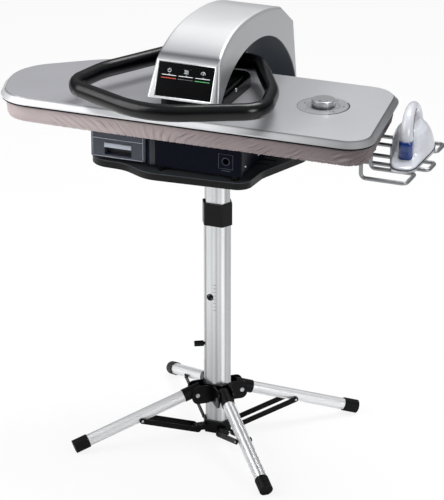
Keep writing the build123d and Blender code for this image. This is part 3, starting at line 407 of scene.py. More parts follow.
PRINT = (120, 2, 0.34, 0.46)
MAKERS = {
    "satin_silver": satin_silver, "plate_silver": plate_silver, "tank_smoke": tank_smoke,
    "tray_charcoal": tray_charcoal, "tube_alloy": tube_alloy, "brushed_dial": brushed_dial,
    "cover_cloth": cover_cloth, "iron_white": iron_white, "iron_blue": iron_blue,
    "bright_rim": plain("bright rim", (222, 224, 226), 0.2, 0.85, rough=(40, 4, 0.14, 0.28),
                        relief=(900, 2, 0.00001)),
    "panel_black": plain("panel black", (7, 8, 10), 0.12, specular=0.2, rough=(25, 5, 0.06, 0.14),
                         mottle=(7, 3, 0.5, (12, 13, 16))),
    "gloss_black": plain("gloss black", (6, 7, 9), 0.16, specular=0.18, rough=(25, 5, 0.1, 0.2),
                         mottle=(7, 3, 0.5, (13, 14, 17))),
    "grip_black": plain("grip black", (7, 8, 12), 0.24, specular=0.32, rough=(12, 4, 0.2, 0.28),
                        relief=(1700, 2, 0.00003), mottle=(6, 3, 0.4, (13, 14, 17))),
    "liner_grey": plain("liner grey", (64, 69, 76), 0.5, specular=0.3, relief=(1300, 3, 0.00012),
                        mottle=(8, 3, 0.5, (34, 36, 40))),
    "moulded_black": plain("moulded black", (7, 7, 8), 0.36, specular=0.18, rough=(30, 4, 0.28, 0.42),
                           relief=(1500, 3, 0.00006), mottle=(12, 3, 0.5, (14, 14, 16))),
    "rubber_black": plain("rubber black", (8, 8, 9), 0.5, specular=0.16, relief=(700, 4, 0.0001),
                          mottle=(40, 5, 0.4, (20, 20, 20))),
    "powder_black": plain("powder black", (6, 6, 7), 0.38, specular=0.16, rough=(50, 4, 0.3, 0.46),
                          relief=(1200, 2, 0.00006)),
    "base_navy": plain("base navy", "navy", 0.24, specular=0.07, rough=(20, 4, 0.2, 0.32),
                       relief=(1100, 2, 0.00003), mottle=(6, 3, 0.5, (10, 16, 30))),
    # dark colour that paints the shade at the back of the tank's recess; the base's pillar uses it too
    "tank_dark": plain("tank recess", (14, 17, 26), 0.3, rough=(35, 3, 0.24, 0.4)),
    # pale colour of the pull lip, and of the lines that paint the tank's highlights
    "tank_edge": plain("tank edge", (170, 176, 188), 0.22, coat=0.4, rough=(60, 3, 0.16, 0.3)),
    "leg_alloy": plain("leg alloy", (236, 237, 239), 0.36, 0.8, rough=(60, 3, 0.34, 0.38),
                       mottle=(60, 3, 0.1, (200, 202, 205))),
    "pin_steel": plain("pin steel", (196, 197, 200), 0.3, 0.9, rough=(200, 4, 0.2, 0.36),
                       relief=(1800, 2, 0.00002)),
    "plate_alloy": plain("plate alloy", (186, 188, 190), 0.32, 0.9, rough=(30, 5, 0.26, 0.4),
                         relief=(60, 4, 0.00003)),
    "dial_face": plain("dial face", (176, 178, 181), 0.36, 0.6, rough=(90, 4, 0.3, 0.44)),
    "wire_chrome": plain("satin chrome", (140, 141, 143), 0.34, 0.85, rough=(60, 5, 0.3, 0.4)),
    "stitch_thread": plain("stitch thread", (190, 176, 172), 0.8, relief=(3000, 2, 0.0001),
                           mottle=(300, 3, 0.5, (160, 146, 142))),
    "seam_grey": plain("grey seam", (58, 64, 80), 0.35, rough=(60, 3, 0.3, 0.44)),
    "seam_dark": plain("dark seam", (40, 42, 58), 0.4, rough=(60, 3, 0.34, 0.5)),
    # white print with a faint painted glow; it is no lamp
    "print_white": plain("white print", (225, 228, 232), 0.4, rough=PRINT, glow=0.12),
    "lamp_red": plain("red lamps", (214, 84, 62), 0.4, rough=PRINT, glow=0.25),
    # the unlit lamps keep a faint painted glow
    "lamp_grey": plain("unlit lamps", (96, 98, 102), 0.4, rough=PRINT, glow=0.03),
    "lamp_green": plain("green lamps", (86, 184, 112), 0.4, rough=PRINT, glow=0.25),
}
made = {}


def finish(name):
    """The material of that name, made when it is first asked for."""
    if name not in made:
        made[name] = MAKERS[name](bpy.context.scene.press_finishes).material
    return made[name]


# Mesh pieces

def placed(name, data):
    """Object in the scene for a mesh, curve, light or camera."""
    thing = bpy.data.objects.new(name, data)
    bpy.context.scene.collection.objects.link(thing)
    return thing


def mesh_of(name, form):
    """Mesh from a bmesh, which is used up."""
    mesh = bpy.data.meshes.new(name)
    form.to_mesh(mesh)
    form.free()
    return mesh


def evaluated(thing):
    """Mesh of an object after its modifiers."""
    depsgraph = bpy.context.evaluated_depsgraph_get()
    return bpy.data.meshes.new_from_object(thing.evaluated_get(depsgraph), depsgraph=depsgraph)


def settle(piece, body):
    """A finished piece rides on its body."""
    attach(piece, body)
    return piece


def soften(mesh, angle):
    """Smooth shading, except where faces meet at more than the angle."""
    mesh.shade_smooth()
    mesh.set_sharp_from_angle(angle=radians(angle))


def shown(name, mesh, look, smooth=None):
    """Object for a mesh, with one material."""
    mesh.materials.clear()
    mesh.materials.append(finish(look))
    if smooth is not None:
        soften(mesh, smooth)
    return placed(name, mesh)


def from_bmesh(name, form, look, body, smooth=40):
    """Piece from a bmesh, with its faces turned outwards."""
    bmesh.ops.remove_doubles(form, verts=form.verts, dist=1e-7)
    bmesh.ops.recalc_face_normals(form, faces=form.faces)
    return settle(shown(name, mesh_of(name, form), look, smooth), body)


def baked(piece):
    """Applies a piece's modifiers."""
    mesh = evaluated(piece)
    piece.modifiers.clear()
    piece.data = mesh


def ring_wall(form, rings, joined=False):
    """Faces between rings of points. The end rings are filled, or the last one is joined to the first."""
    loops = [[form.verts.new(point) for point in ring] for ring in rings]
    for below, above in zip(loops, loops[1:] + loops[:joined]):
        for here in range(len(below)):
            after = (here + 1) % len(below)
            form.faces.new((below[here], below[after], above[after], above[here]))
    if not joined:
        form.faces.new(list(reversed(loops[0])))
        form.faces.new(loops[-1])


def tube(form, points, radii, sides=12):
    """Round tube through points, with one radius or a radius at each."""
    points = [Vector(point) for point in points]
    if isinstance(radii, float):
        radii = [radii] * len(points)
    side = None
    rings = []
    for here, point in enumerate(points):
        way = (points[min(here + 1, len(points) - 1)] - points[max(here - 1, 0)]).normalized()
        if side is None:
            side = way.orthogonal().normalized()
        side = (side - way * side.dot(way)).normalized()
        up = way.cross(side)
        rings.append([point + (side * cos(tau * k / sides) + up * sin(tau * k / sides)) * radii[here]
                      for k in range(sides)])
    ring_wall(form, rings)


def rods(name, look, body, lines, sides=8, smooth=40):
    """Piece of round tubes, each given by its points and radii."""
    form = bmesh.new()
    for points, radii in lines:
        tube(form, points, radii, sides)
    return from_bmesh(name, form, look, body, smooth)


def circle(x, y, z, radius, count=32):
    """Points round a centre, upright and facing the front."""
    return [Vector((x + radius * cos(tau * k / count), y, z + radius * sin(tau * k / count)))
            for k in range(count + 1)]


def slab(form, low, high, bevel=0.0):
    """Box between two corners, with bevelled edges."""
    size = Vector(high) - Vector(low)
    matrix = Matrix.Translation((Vector(high) + Vector(low)) / 2) @ Matrix.Diagonal((*size, 1))
    cube = bmesh.ops.create_cube(form, size=1, matrix=matrix)
    if bevel:
        edges = list({edge for vert in cube["verts"] for edge in vert.link_edges})
        bmesh.ops.bevel(form, geom=edges, offset=bevel, segments=3, affect="EDGES", profile=0.5)


def slab_seed(*box):
    """Box for a node tree to copy."""
    seed = bmesh.new()
    slab(seed, *box)
    return seed


def slabs(name, look, body, boxes, smooth=30):
    """Piece of boxes, each given by two corners and a bevel if it has one."""
    form = bmesh.new()
    for box in boxes:
        slab(form, *box)
    return from_bmesh(name, form, look, body, smooth)


def spread_out(points, count):
    """Evenly spaced points round a closed line of points, and its length."""
    points = points + points[:1]
    lengths = [(b - a).length for a, b in zip(points, points[1:])]
    total = sum(lengths)
    result, part, gone = [], 0, 0.0
    for number in range(count):
        wanted = total * number / count
        while part < len(lengths) - 1 and gone + lengths[part] < wanted:
            gone += lengths[part]
            part += 1
        share = (wanted - gone) / lengths[part] if lengths[part] else 0
        result.append(points[part].lerp(points[part + 1], min(share, 1)))
    return result, total


def outline_of(node, count):
    """Evenly spaced points round a node's outline from above, each with its outward direction."""
    flat = [vert.co.xy for vert in frame["nodes"][node].data.vertices]
    hull = [flat[number] for number in geometry.convex_hull_2d(flat)]
    points, total = spread_out([Vector((p.x, p.y)) for p in hull], count)
    centre = sum(points, Vector((0, 0))) / count
    apart = max(count // 150, 1)
    result = []
    for here in range(count):
        along = (points[(here + apart) % count] - points[here - apart]).normalized()
        outward = Vector((along.y, -along.x))
        if outward.dot(points[here] - centre) < 0:
            outward = -outward
        result.append((points[here], outward))
    return result, total, centre


def rivet_seed(radius, height, turn=0.0, about="Y"):
    """Domed head that stands up from its own origin, then turned."""
    seed = bmesh.new()
    ring_wall(seed, [[(radius * share * cos(tau * k / 14), radius * share * sin(tau * k / 14), height * up)
                      for k in range(14)] for share, up in ((1, -0.3), (1, 0.35), (0.8, 0.8), (0.4, 1))])
    bmesh.ops.rotate(seed, verts=seed.verts, cent=(0, 0, 0), matrix=Matrix.Rotation(turn, 3, about))
    return seed


# Node trees for what repeats

class Tree:
    """A geometry node tree under construction, which makes copies of a piece."""

    def __init__(self, name, **asked):
        self.tree = bpy.data.node_groups.new(name, "GeometryNodeTree")
        sockets = self.tree.interface
        for label, kind in (dict(Geometry="Geometry", Piece="Object", Count="Int", Material="Material")
                            | asked).items():
            sockets.new_socket(label.replace("_", " "), in_out="INPUT", socket_type="NodeSocket" + kind)
        sockets.new_socket("Geometry", in_out="OUTPUT", socket_type="NodeSocketGeometry")
        self.given = self.tree.nodes.new("NodeGroupInput").outputs
        self.result = self.tree.nodes.new("NodeGroupOutput")

    def add(self, kind, **links):
        """Node whose named inputs are linked to outputs or set to values."""
        node = self.tree.nodes.new("GeometryNode" + kind)
        for name, value in links.items():
            self.feed(node.inputs[name.replace("_", " ")], value)
        return node.outputs

    def feed(self, socket, value):
        if isinstance(value, bpy.types.NodeSocket):
            self.tree.links.new(value, socket)
        else:
            socket.default_value = value

    def copies(self, points, **turned):
        """The piece on every point."""
        piece = self.add("ObjectInfo", Object=self.given["Piece"])
        return self.add("InstanceOnPoints", Points=points, Instance=piece["Geometry"], **turned)[0]

    def end(self, geometry_out):
        """Realize Instances and Set Material close the tree."""
        real = self.add("RealizeInstances", Geometry=geometry_out)[0]
        painted = self.add("SetMaterial", Geometry=real, Material=self.given["Material"])[0]
        self.tree.links.new(painted, self.result.inputs[0])
        return self.tree


def row_tree():
    """Copies of a piece in a straight row."""
    build = Tree("copies in a row", Start="Vector", Step="Vector")
    given = build.given
    line = build.add("MeshLine", Count=given["Count"], Start_Location=given["Start"], Offset=given["Step"])
    return build.end(build.copies(line[0]))


def ring_tree():
    """Copies of a piece turned about the upright axis, then moved to their place."""
    build = Tree("copies in a ring", First_Angle="Float", Angle_Step="Float", Centre="Vector")
    given = build.given
    line = build.add("MeshLine", Count=given["Count"], Offset=(0, 0, 0))
    angle = build.tree.nodes.new("ShaderNodeMath")
    angle.operation = "MULTIPLY_ADD"
    number = build.add("InputIndex")[0]
    for socket, value in zip(angle.inputs, (number, given["Angle Step"], given["First Angle"])):
        build.feed(socket, value)
    turn = build.tree.nodes.new("ShaderNodeCombineXYZ")
    build.feed(turn.inputs["Z"], angle.outputs[0])
    copies = build.copies(line[0], Rotation=turn.outputs[0])
    return build.end(build.add("Transform", Geometry=copies, Translation=given["Centre"])[0])


def path_tree():
    """Copies of a piece along a curve, each lying along it."""
    build = Tree("copies along a path", Path="Object")
    path = build.add("ObjectInfo", Object=build.given["Path"])
    points = build.add("CurveToPoints", Curve=path["Geometry"], Count=build.given["Count"])
    return build.end(build.copies(points["Points"], Rotation=points["Rotation"]))


TREES = {"row": row_tree, "ring": ring_tree, "path": path_tree}
trees = {}


def grown(name, kind, look, body, slot, seed, **values):
    """Piece made by one of the node trees from a seed bmesh, as a plain mesh."""
    if kind not in trees:
        trees[kind] = TREES[kind]()
    tree = trees[kind]
    bmesh.ops.recalc_face_normals(seed, faces=seed.faces)
    seed_object = placed(name + "_seed", mesh_of(name + "_seed", seed))
    soften(seed_object.data, 40)
    carrier = placed(name + "_carrier", bpy.data.meshes.new(name + "_carrier"))
    modifier = carrier.modifiers.new("copies", "NODES")
    modifier.node_group = tree
    values.update(Piece=seed_object, Material=finish(look))
    for item in tree.interface.items_tree:
        key = item.name.replace(" ", "_")
        if item.in_out == "INPUT" and key in values:
            modifier[item.identifier] = values[key]
    mesh = evaluated(carrier)
    for each in (seed_object, carrier):
        bpy.data.objects.remove(each)
    return settle(shown(name, mesh, look), body)


# Sizes and colours that a user would change

def paint(name, description, *colour):
    return FloatVectorProperty(name=name, description=description, subtype="COLOR",
                               default=shade(*colour)[:3], min=0, max=1)


def length(name, description, default, **limits):
    return FloatProperty(name=name, description=description, default=default, unit="LENGTH", **limits)


def number_of(name, description, default, least=1):
    return IntProperty(name=name, description=description, default=default, min=least)


class PressFinishes(bpy.types.PropertyGroup):
    silver: paint("Silver", "Paint of the hood and the plate cover", 190, 191, 194)
    alloy: paint("Alloy", "Drawn tubes of the stand", 206, 208, 210)
    cloth: paint("Cloth", "Fabric of the board's cover", 190, 176, 177)
    navy: paint("Base", "Plastic of the base", 6, 12, 28)
    blue: paint("Iron tank", "Clear tank of the side iron", 22, 64, 138)


class PressSizes(bpy.types.PropertyGroup):
    fold_depth: length("Fold depth", "How far the skirt's gathers stand out", 0.0068, min=0)
    fold_pitch: length("Fold pitch", "Distance between gathers", 0.0135, min=0.005)
    hem_drop: length("Hem drop", "How deep the hem's scallops hang", 0.0016, min=0)
    stitches: number_of("Stitches", "Stitches round the hem", 420, 10)
    tray_ribs: number_of("Tray ribs", "Ribs on the tray's right wing", 4)
    lamp_count: number_of("Lamps", "Lamps in each row on the panel", 9)


class PressStage(bpy.types.PropertyGroup):
    distance: length("Distance", "From the camera to the column", 7.5)
    azimuth: FloatProperty(name="Azimuth", description="Camera's turn from the front",
                           default=radians(21.75), subtype="ANGLE")
    elevation: FloatProperty(name="Elevation", description="Camera's height over the horizon",
                             default=radians(22.41), subtype="ANGLE")
    lens: FloatProperty(name="Lens", description="Focal length in millimetres", default=213.25)
    key_power: FloatProperty(name="Key light", description="Power of the large light on the left",
                             default=150, min=0)


class Maker:
    """What every operator of the press shares: its own make does the work."""
    bl_options = {"REGISTER", "UNDO"}

    def execute(self, context):
        self.make(context)
        return {"FINISHED"}


class PRESS_OT_nodes(Maker, bpy.types.Operator):
    """Give every carried-over piece its material"""
    bl_idname = "press.nodes"
    bl_label = "Finish the solid pieces"

    looks = {
        "satin_silver": ("hood_shell",),
        "plate_silver": ("plate_cover",),
        "panel_black": ("display_panel", "key_power", "key_steam", "key_pressure"),
        "gloss_black": ("arm_block",),
        "grip_black": ("handle_loop",),
        "liner_grey": ("hood_liner",),
        "brushed_dial": ("dial_knob",),
        "dial_face": ("dial_ring",),
        "plate_alloy": ("heat_plate", "iron_sole", "arm_frame", "boiler"),
        "base_navy": ("base_housing", "base_lid", "iron_socket"),
        "tank_smoke": ("water_tank",),
        "moulded_black": ("tank_cap", "pump", "steam_trigger", "column_collar", "leg_hub", "brace_collar",
                          "lock_knob", "height_button", *four("leg_boot")),
        "pin_steel": ("leg_pins", "brace_pins", "hinge_pin", "lift_springs"),
        "tray_charcoal": ("tray",),
        "tube_alloy": ("outer_column", "inner_column", "brace_sleeve"),
        "leg_alloy": four("leg_tube"),
        "rubber_black": ("base_feet", *four("foot_cap")),
        "powder_black": (*four("strut"), "tray_bracket", "hinge_bracket", "board_pan"),
        "cover_cloth": ("pad_cover", "foam_pad"),
        "iron_white": ("iron_shell",),
        "iron_blue": ("iron_tank",),
        "wire_chrome": ("iron_rack",),
    }

    def make(self, context):
        for look, nodes in self.looks.items():
            for node in nodes:
                for slot in frame["nodes"][node].material_slots:
                    slot.material = finish(look)


class PRESS_OT_cover(Maker, bpy.types.Operator):
    """Gathered fabric cover over the padded board, with a scalloped, stitched hem"""
    bl_idname = "press.cover"
    bl_label = "Fabric cover"

    columns = 1200
    rows = 26
    flat_fold = 0.7
    top_shares = (0.96, 0.85, 0.6, 0.3)
    top_step = 10
    top_inset = 0.006
    hem_inset = 0.0055
    smooth_nose = 0.08
    nose_blend = 0.16
    cloth = 0.0016
    stitch_height = 0.0068
    stitch_inset = 0.0026

    def make(self, context):
        sizes = context.scene.press_sizes
        ring, total, centre = outline_of("pad_cover", self.columns)
        low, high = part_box("pad_cover")
        drop = high.z - low.z
        form = bmesh.new()
        uv = form.loops.layers.uv.new("UVMap")
        fold_layer = form.verts.layers.float.new("fold")
        places = {}
        loops = []
        for level in range(self.rows + 1):
            share = level / self.rows
            inset = self.top_inset * max(0, 1 - share / 0.12) ** 2.5 + self.hem_inset * share ** 2.2
            row = []
            for number, (point, outward) in enumerate(ring):
                along = total * number / self.columns
                fold, scallop = self.folds(along, share * drop, point.x, total, sizes.fold_pitch)
                gathered = min(1, max(0.1, (point.x - low.x - self.smooth_nose) / self.nose_blend))
                out = (fold - 0.55) * sizes.fold_depth * min(1, share * 2.2) * gathered - inset
                z = high.z - share * drop - scallop * sizes.hem_drop * gathered * share ** 3
                vert = form.verts.new((*(point + outward * out), z))
                vert[fold_layer] = swing(min(1, share * 3) * gathered, self.flat_fold, fold)
                places[vert] = (along, share * drop)
                row.append(vert)
            loops.append(row)
        for share in self.top_shares:
            row = []
            for point, outward in ring[::self.top_step]:
                flat = centre.lerp(point, share)
                vert = form.verts.new((flat.x, flat.y, high.z + 0.0004 * sin(flat.x * 60) * share))
                vert[fold_layer] = self.flat_fold
                places[vert] = (flat.x, flat.y)
                row.append(vert)
            loops.insert(0, row)
        for above, below in zip(loops, loops[1:]):
            step = len(below) // len(above)
            for here in range(len(above)):
                after = (here + 1) % len(above)
                edge = [below[(here * step + k) % len(below)] for k in range(step + 1)]
                form.faces.new([above[here]] + edge + [above[after]])
        form.faces.new(loops[0])
        for face in form.faces:
            for loop in face.loops:
                loop[uv].uv = places[loop.vert]
        bmesh.ops.recalc_face_normals(form, faces=form.faces)
        bmesh.ops.triangulate(form, faces=[face for face in form.faces if len(face.verts) > 4])
        cover = shown("fabric_cover", mesh_of("fabric_cover", form), "cover_cloth", 180)
        wall = cover.modifiers.new("thickness", "SOLIDIFY")
        wall.thickness = self.cloth
        wall.offset = -1
        baked(cover)
        settle(cover, "lift")
        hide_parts("pad_cover", "foam_pad")
        self.stitch(ring, low.z + self.stitch_height, sizes)

    def folds(self, along, depth, x, total, pitch):
        """Height of the gathers from 0 to 1, and how far the hem hangs. Fine and broad ridges lean one way at
        the left and the other way at the right, are mixed by noise, and are calm in places."""
        turn = tau * along / total
        circle = Vector((cos(turn), sin(turn), 0)) * total / tau
        lean = swing(held((x + 0.3) / 0.4), -1.2, 1.5) + 0.5 * noise.noise(circle * 4)
        warp = along + lean * depth + 0.03 * noise.noise(circle * 9 + Vector((0, 0, depth * 12)))
        warp += 0.006 * noise.noise(circle * 45 + Vector((0, 0, depth * 40)))
        fine = abs(sin(pi * warp / pitch)) ** 0.75
        broad = abs(sin(pi * (warp + 0.004) / (pitch * 1.9))) ** 0.6
        mask = held(0.5 + 1.1 * noise.noise(circle * 16 + Vector((2, 5, depth * 30))))
        scallop = abs(sin(pi * along / (pitch * 0.62) + 3 * noise.noise(circle * 10)))
        calm = held(0.45 + 0.55 * noise.noise(circle * 22 + Vector((9, 1, depth * 45))))
        height = swing(mask, broad, 0.62 * fine + 0.38 * broad)
        return min(1, swing(calm, height, 0.72)), scallop

    def stitch(self, ring, level, sizes):
        path = bpy.data.curves.new("hem_path", "CURVE")
        path.dimensions = "3D"
        spline = path.splines.new("POLY")
        spline.points.add(len(ring) - 1)
        for spot, (point, outward) in zip(spline.points, ring):
            spot.co = (*(point - outward * self.stitch_inset), level, 1)
        spline.use_cyclic_u = True
        path_object = placed("hem_path", path)
        seed = bmesh.new()
        tube(seed, [(0, 0, -0.0015), (0, 0, 0), (0, 0, 0.0015)], (0.0004, 0.0006, 0.0004), 6)
        grown("hem_stitches", "path", "stitch_thread", "lift", "cover_cloth", seed, Path=path_object,
              Count=sizes.stitches)
        bpy.data.objects.remove(path_object)


class PRESS_OT_plate(Maker, bpy.types.Operator):
    """Dark band that paints the shadow under the plate cover's edge"""
    bl_idname = "press.plate"
    bl_label = "Plate edge shadow"

    def make(self, context):
        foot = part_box("plate_cover")[0].z
        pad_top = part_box("pad_cover")[1].z
        ring = outline_of("plate_cover", 360)[0]
        form = bmesh.new()
        ring_wall(form, [[(*(point + outward * out), z) for point, outward in ring] for out, z in
                         ((-0.004, pad_top + 0.0009), (-0.0022, pad_top + 0.0014), (-0.0022, foot + 0.0006),
                          (-0.004, foot + 0.001))], joined=True)
        # dark band of painted shadow between the pad and the plate cover's edge
        from_bmesh("plate_seal", form, "rubber_black", "arm", 50)


class PRESS_OT_panel(Maker, bpy.types.Operator):
    """Signs, slider lines and lamps on the control panel, and its bright frame"""
    bl_idname = "press.panel"
    bl_label = "Control panel"

    sunk = 0.0001
    line_width = 0.0011
    slider_drop = 0.0115
    lamp_drop = 0.0075
    lamp_row = 0.035

    def make(self, context):
        self.out = -axis("power_key_slide")
        self.right = Vector((1, 0, 0))
        self.up = self.out.cross(self.right).normalized()
        if self.up.z < 0:
            self.up = -self.up
        low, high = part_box("display_panel")
        self.centre = (low + high) / 2
        self.face = reach("display_panel", self.centre, self.out)
        self.frame_band((high.x - low.x) / 2, reach("display_panel", self.centre, self.up))
        for number, (key, sign) in enumerate((("power", self.power_sign()), ("steam", self.steam_sign()),
                                              ("pressure", self.gauge_sign()))):
            offset = middle(f"key_{key}") - self.centre
            across, level = offset.dot(self.right), offset.dot(self.up)
            form = bmesh.new()
            for stroke in sign:
                self.stroke(form, [Vector((across + u, level + v)) for u, v in stroke],
                            reach(f"key_{key}", self.centre, self.out))
            from_bmesh(f"{key}_sign", form, "print_white", f"{key}_key", None)
            self.slider(number, across, level - self.slider_drop, context.scene.press_sizes.lamp_count)

    def spot(self, u, v, w):
        return self.centre + self.right * u + self.up * v + self.out * w

    def block(self, form, centre, half_u, half_v, height):
        """Flat block that stands on the panel."""
        ring_wall(form, [[centre + self.right * a * half_u + self.up * b * half_v + self.out * w
                          for a, b in SQUARE] for w in (-self.sunk, height)])

    def stroke(self, form, points, base):
        """Raised line of even width through points on the panel."""
        for start, end in zip(points, points[1:]):
            run = (end - start).normalized()
            side, tip = Vector((-run.y, run.x)) * self.line_width / 2, run * self.line_width / 4
            flat = (start - tip + side, start - tip - side, end + tip - side, end + tip + side)
            ring_wall(form, [[self.spot(*point, w) for point in flat]
                             for w in (base - self.sunk, base + 0.00015)])

    def arc(self, radius, start, end, count=16):
        turns = [radians(swing(k / count, start, end)) for k in range(count + 1)]
        return [(radius * cos(turn), radius * sin(turn)) for turn in turns]

    def power_sign(self):
        return [self.arc(0.0042, 130, 410), [(0, 0.0012), (0, 0.0056)]]

    def steam_sign(self):
        puffs = [[(shift + 0.0012 * sin(k * 1.1), -0.001 + k * 0.0011) for k in range(6)]
                 for shift in (-0.0032, 0.0004, 0.004)]
        return puffs + [[(-0.0056, -0.0036), (0.006, -0.0036)]]

    def gauge_sign(self):
        return [self.arc(0.0052, -10, 190), [(0, 0), (0.0026, 0.0034)], [(-0.002, -0.0016), (0.002, -0.0016)]]

    def slider(self, number, across, level, lamps):
        form = bmesh.new()
        self.block(form, self.spot(across, level, self.face), 0.0185, 0.0007, 0.0002)
        shift = (0.0005, 0.001, 0.001)[number]
        self.block(form, self.spot(across + shift, level + 0.0012, self.face), 0.0007, 0.0022, 0.0003)
        from_bmesh(f"slider_{number + 1}", form, "print_white", "arm", None)
        seed = bmesh.new()
        self.block(seed, Vector((0, 0, 0)), 0.0014, 0.0009, 0.0002)
        start = self.spot(across - self.lamp_row / 2, level - self.lamp_drop, self.face)
        grown(f"lamps_{number + 1}", "row", ("lamp_red", "lamp_grey", "lamp_green")[number], "arm",
              "panel_black", seed, Count=lamps, Start=start, Step=self.right * self.lamp_row / (lamps - 1))

    def frame_band(self, half_width, half_height):
        """Bright bevelled strip between the panel and the hood."""
        form = bmesh.new()
        ring_wall(form, [[self.spot(a * (half_width + grow), b * (half_height + grow), self.face + w)
                          for a, b in SQUARE] for grow, w in
                         ((0.0, 0.0004), (0.0, 0.0014), (0.0012, 0.0017), (0.0022, 0.0012),
                          (0.0022, 0.0004))], joined=True)
        from_bmesh("panel_frame", form, "bright_rim", "arm", 30)


class PRESS_OT_dial(Maker, bpy.types.Operator):
    """Scale, numbers and pointer of the heat dial"""
    bl_idname = "press.dial"
    bl_label = "Heat dial"

    sunk = -0.0001
    raised = 0.00025
    ticks = 25
    knurls = 60
    arc_steps = 60
    figures = 6

    def make(self, context):
        low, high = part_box("dial_ring")
        knob_low, knob_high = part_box("dial_knob")
        centre = middle("dial_ring")
        spot = Vector((centre.x, centre.y, high.z))
        radius = (high.x - low.x) / 2
        knob = (knob_high.x - knob_low.x) / 2
        seed = slab_seed((knob + 0.008, -0.0006, self.sunk), (knob + 0.013, 0.0006, self.raised))
        grown("dial_ticks", "ring", "seam_dark", "arm", "dial_metal", seed, Count=self.ticks,
              First_Angle=radians(-60), Angle_Step=radians(300 / (self.ticks - 1)), Centre=spot)
        for name, look, inner, outer, start, end in (
                ("dial_arc", "seam_dark", radius - 0.0042, radius - 0.0008, -60, 40),
                ("dial_rear_arc", "seam_dark", radius - 0.003, radius - 0.0008, 95, 130),
                ("dial_circle", "seam_grey", radius - 0.0018, radius - 0.0008, 130, 300),
                ("dial_front_arc", "seam_dark", knob + 0.003, knob + 0.0045, 215, 325)):
            section = ((inner, self.sunk), (outer, self.sunk), (outer, self.raised), (inner, self.raised))
            turns = [radians(swing(k / self.arc_steps, start, end)) for k in range(self.arc_steps + 1)]
            form = bmesh.new()
            ring_wall(form, [[spot + Vector((r * cos(turn), r * sin(turn), z)) for r, z in section]
                             for turn in turns])
            from_bmesh(name, form, look, "arm", 30)
        for number in range(self.figures):
            turn = radians(swing(number / (self.figures - 1), 230, -40))
            self.figure(str(number + 1), spot + Vector((cos(turn), sin(turn), 0)) * (knob + 0.021))
        dot = Vector((centre.x - knob * 0.1, centre.y - knob * 0.62, knob_high.z))
        rods("dial_dot", "seam_dark", "dial",
             [([dot + Vector((0, 0, -0.0005)), dot + Vector((0, 0, 0.0004))], 0.0026)], 16)
        seed = bmesh.new()
        tube(seed, [(knob - 0.0002, 0, 0), (knob - 0.0002, 0, (knob_high.z - low.z) * 0.6)], 0.0008, 6)
        grown("dial_knurl", "ring", "brushed_dial", "dial", "dial_metal", seed, Count=self.knurls,
              First_Angle=0.0, Angle_Step=tau / self.knurls, Centre=spot + Vector((0, 0, 0.003)))

    def figure(self, text, place):
        """One figure of the scale, as a raised mesh."""
        letters = bpy.data.curves.new("figure_" + text, "FONT")
        letters.body = text
        letters.size = 0.011
        letters.align_x = "CENTER"
        letters.align_y = "CENTER"
        letters.extrude = 0.0002
        source = placed("figure_source", letters)
        bpy.context.view_layer.update()
        mesh = evaluated(source)
        bpy.data.objects.remove(source)
        mesh.transform(Matrix.Translation(place))
        settle(shown("figure_" + text, mesh, "seam_dark"), "arm")


class PRESS_OT_arm(Maker, bpy.types.Operator):
    """Bolt on the arm's black block"""
    bl_idname = "press.arm"
    bl_label = "Arm block bolt"

    def make(self, context):
        low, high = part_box("arm_block")
        bolt = rivet_seed(0.0045, 0.003, pi / 2)
        bmesh.ops.translate(bolt, verts=bolt.verts, vec=(high.x, low.y + 0.11, high.z - 0.068))
        from_bmesh("block_bolt", bolt, "pin_steel", "arm")


class PRESS_OT_base(Maker, bpy.types.Operator):
    """Seams, socket outline, vents and screws of the base"""
    bl_idname = "press.base"
    bl_label = "Base details"

    def make(self, context):
        low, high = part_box("base_lid")
        socket_low, socket_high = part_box("iron_socket")
        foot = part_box("base_housing")[0].z
        face = low.y
        centre = (socket_low + socket_high) / 2
        half = (socket_high.x - socket_low.x) / 2 + 0.001
        corners = [Vector((centre.x + a * half, socket_low.y, centre.z + b * half)) for a, b in SQUARE]
        frame_lines = [((start, end), 0.0007) for start, end in zip(corners, corners[1:] + corners[:1])]
        rim = circle(centre.x, socket_low.y, centre.z, 0.0095)
        rods("socket_outline", "seam_grey", "lift", frame_lines + [(rim, 0.001)])
        label = 0.012
        slabs("base_seam", "seam_grey", "lift", (
            ((low.x + 0.004, face - 0.0004, low.z - 0.0005), (high.x - 0.004, face + 0.001, low.z + 0.0007)),
            ((centre.x - label, face - 0.0003, foot + 0.012),
             (centre.x + label, face + 0.001, foot + 0.0135))))
        slabs("base_pillar", "tank_dark", "lift", (
            ((low.x + 0.011, face - 0.0008, foot + 0.002), (low.x + 0.026, face + 0.002, low.z), 0.0004),))
        line = [Vector((low.x + 0.0135, face - 0.0008, z)) for z in (foot + 0.004, low.z - 0.002)]
        rods("base_pillar_line", "seam_grey", "lift", [(line, 0.0008)])
        grown("rear_vents", "row", "seam_dark", "lift", "base_navy",
              slab_seed((-0.002, -0.001, -0.022), (0.002, 0.001, 0.022), 0.0006), Count=14,
              Start=Vector((low.x + 0.04, high.y, foot + 0.05)), Step=Vector((0.0125, 0, 0)))
        grown("side_screws", "row", "pin_steel", "lift", "pin_steel", rivet_seed(0.004, 0.0022, pi / 2),
              Count=4, Start=Vector((high.x, low.y + 0.03, foot + 0.02)), Step=Vector((0, 0.09, 0)))


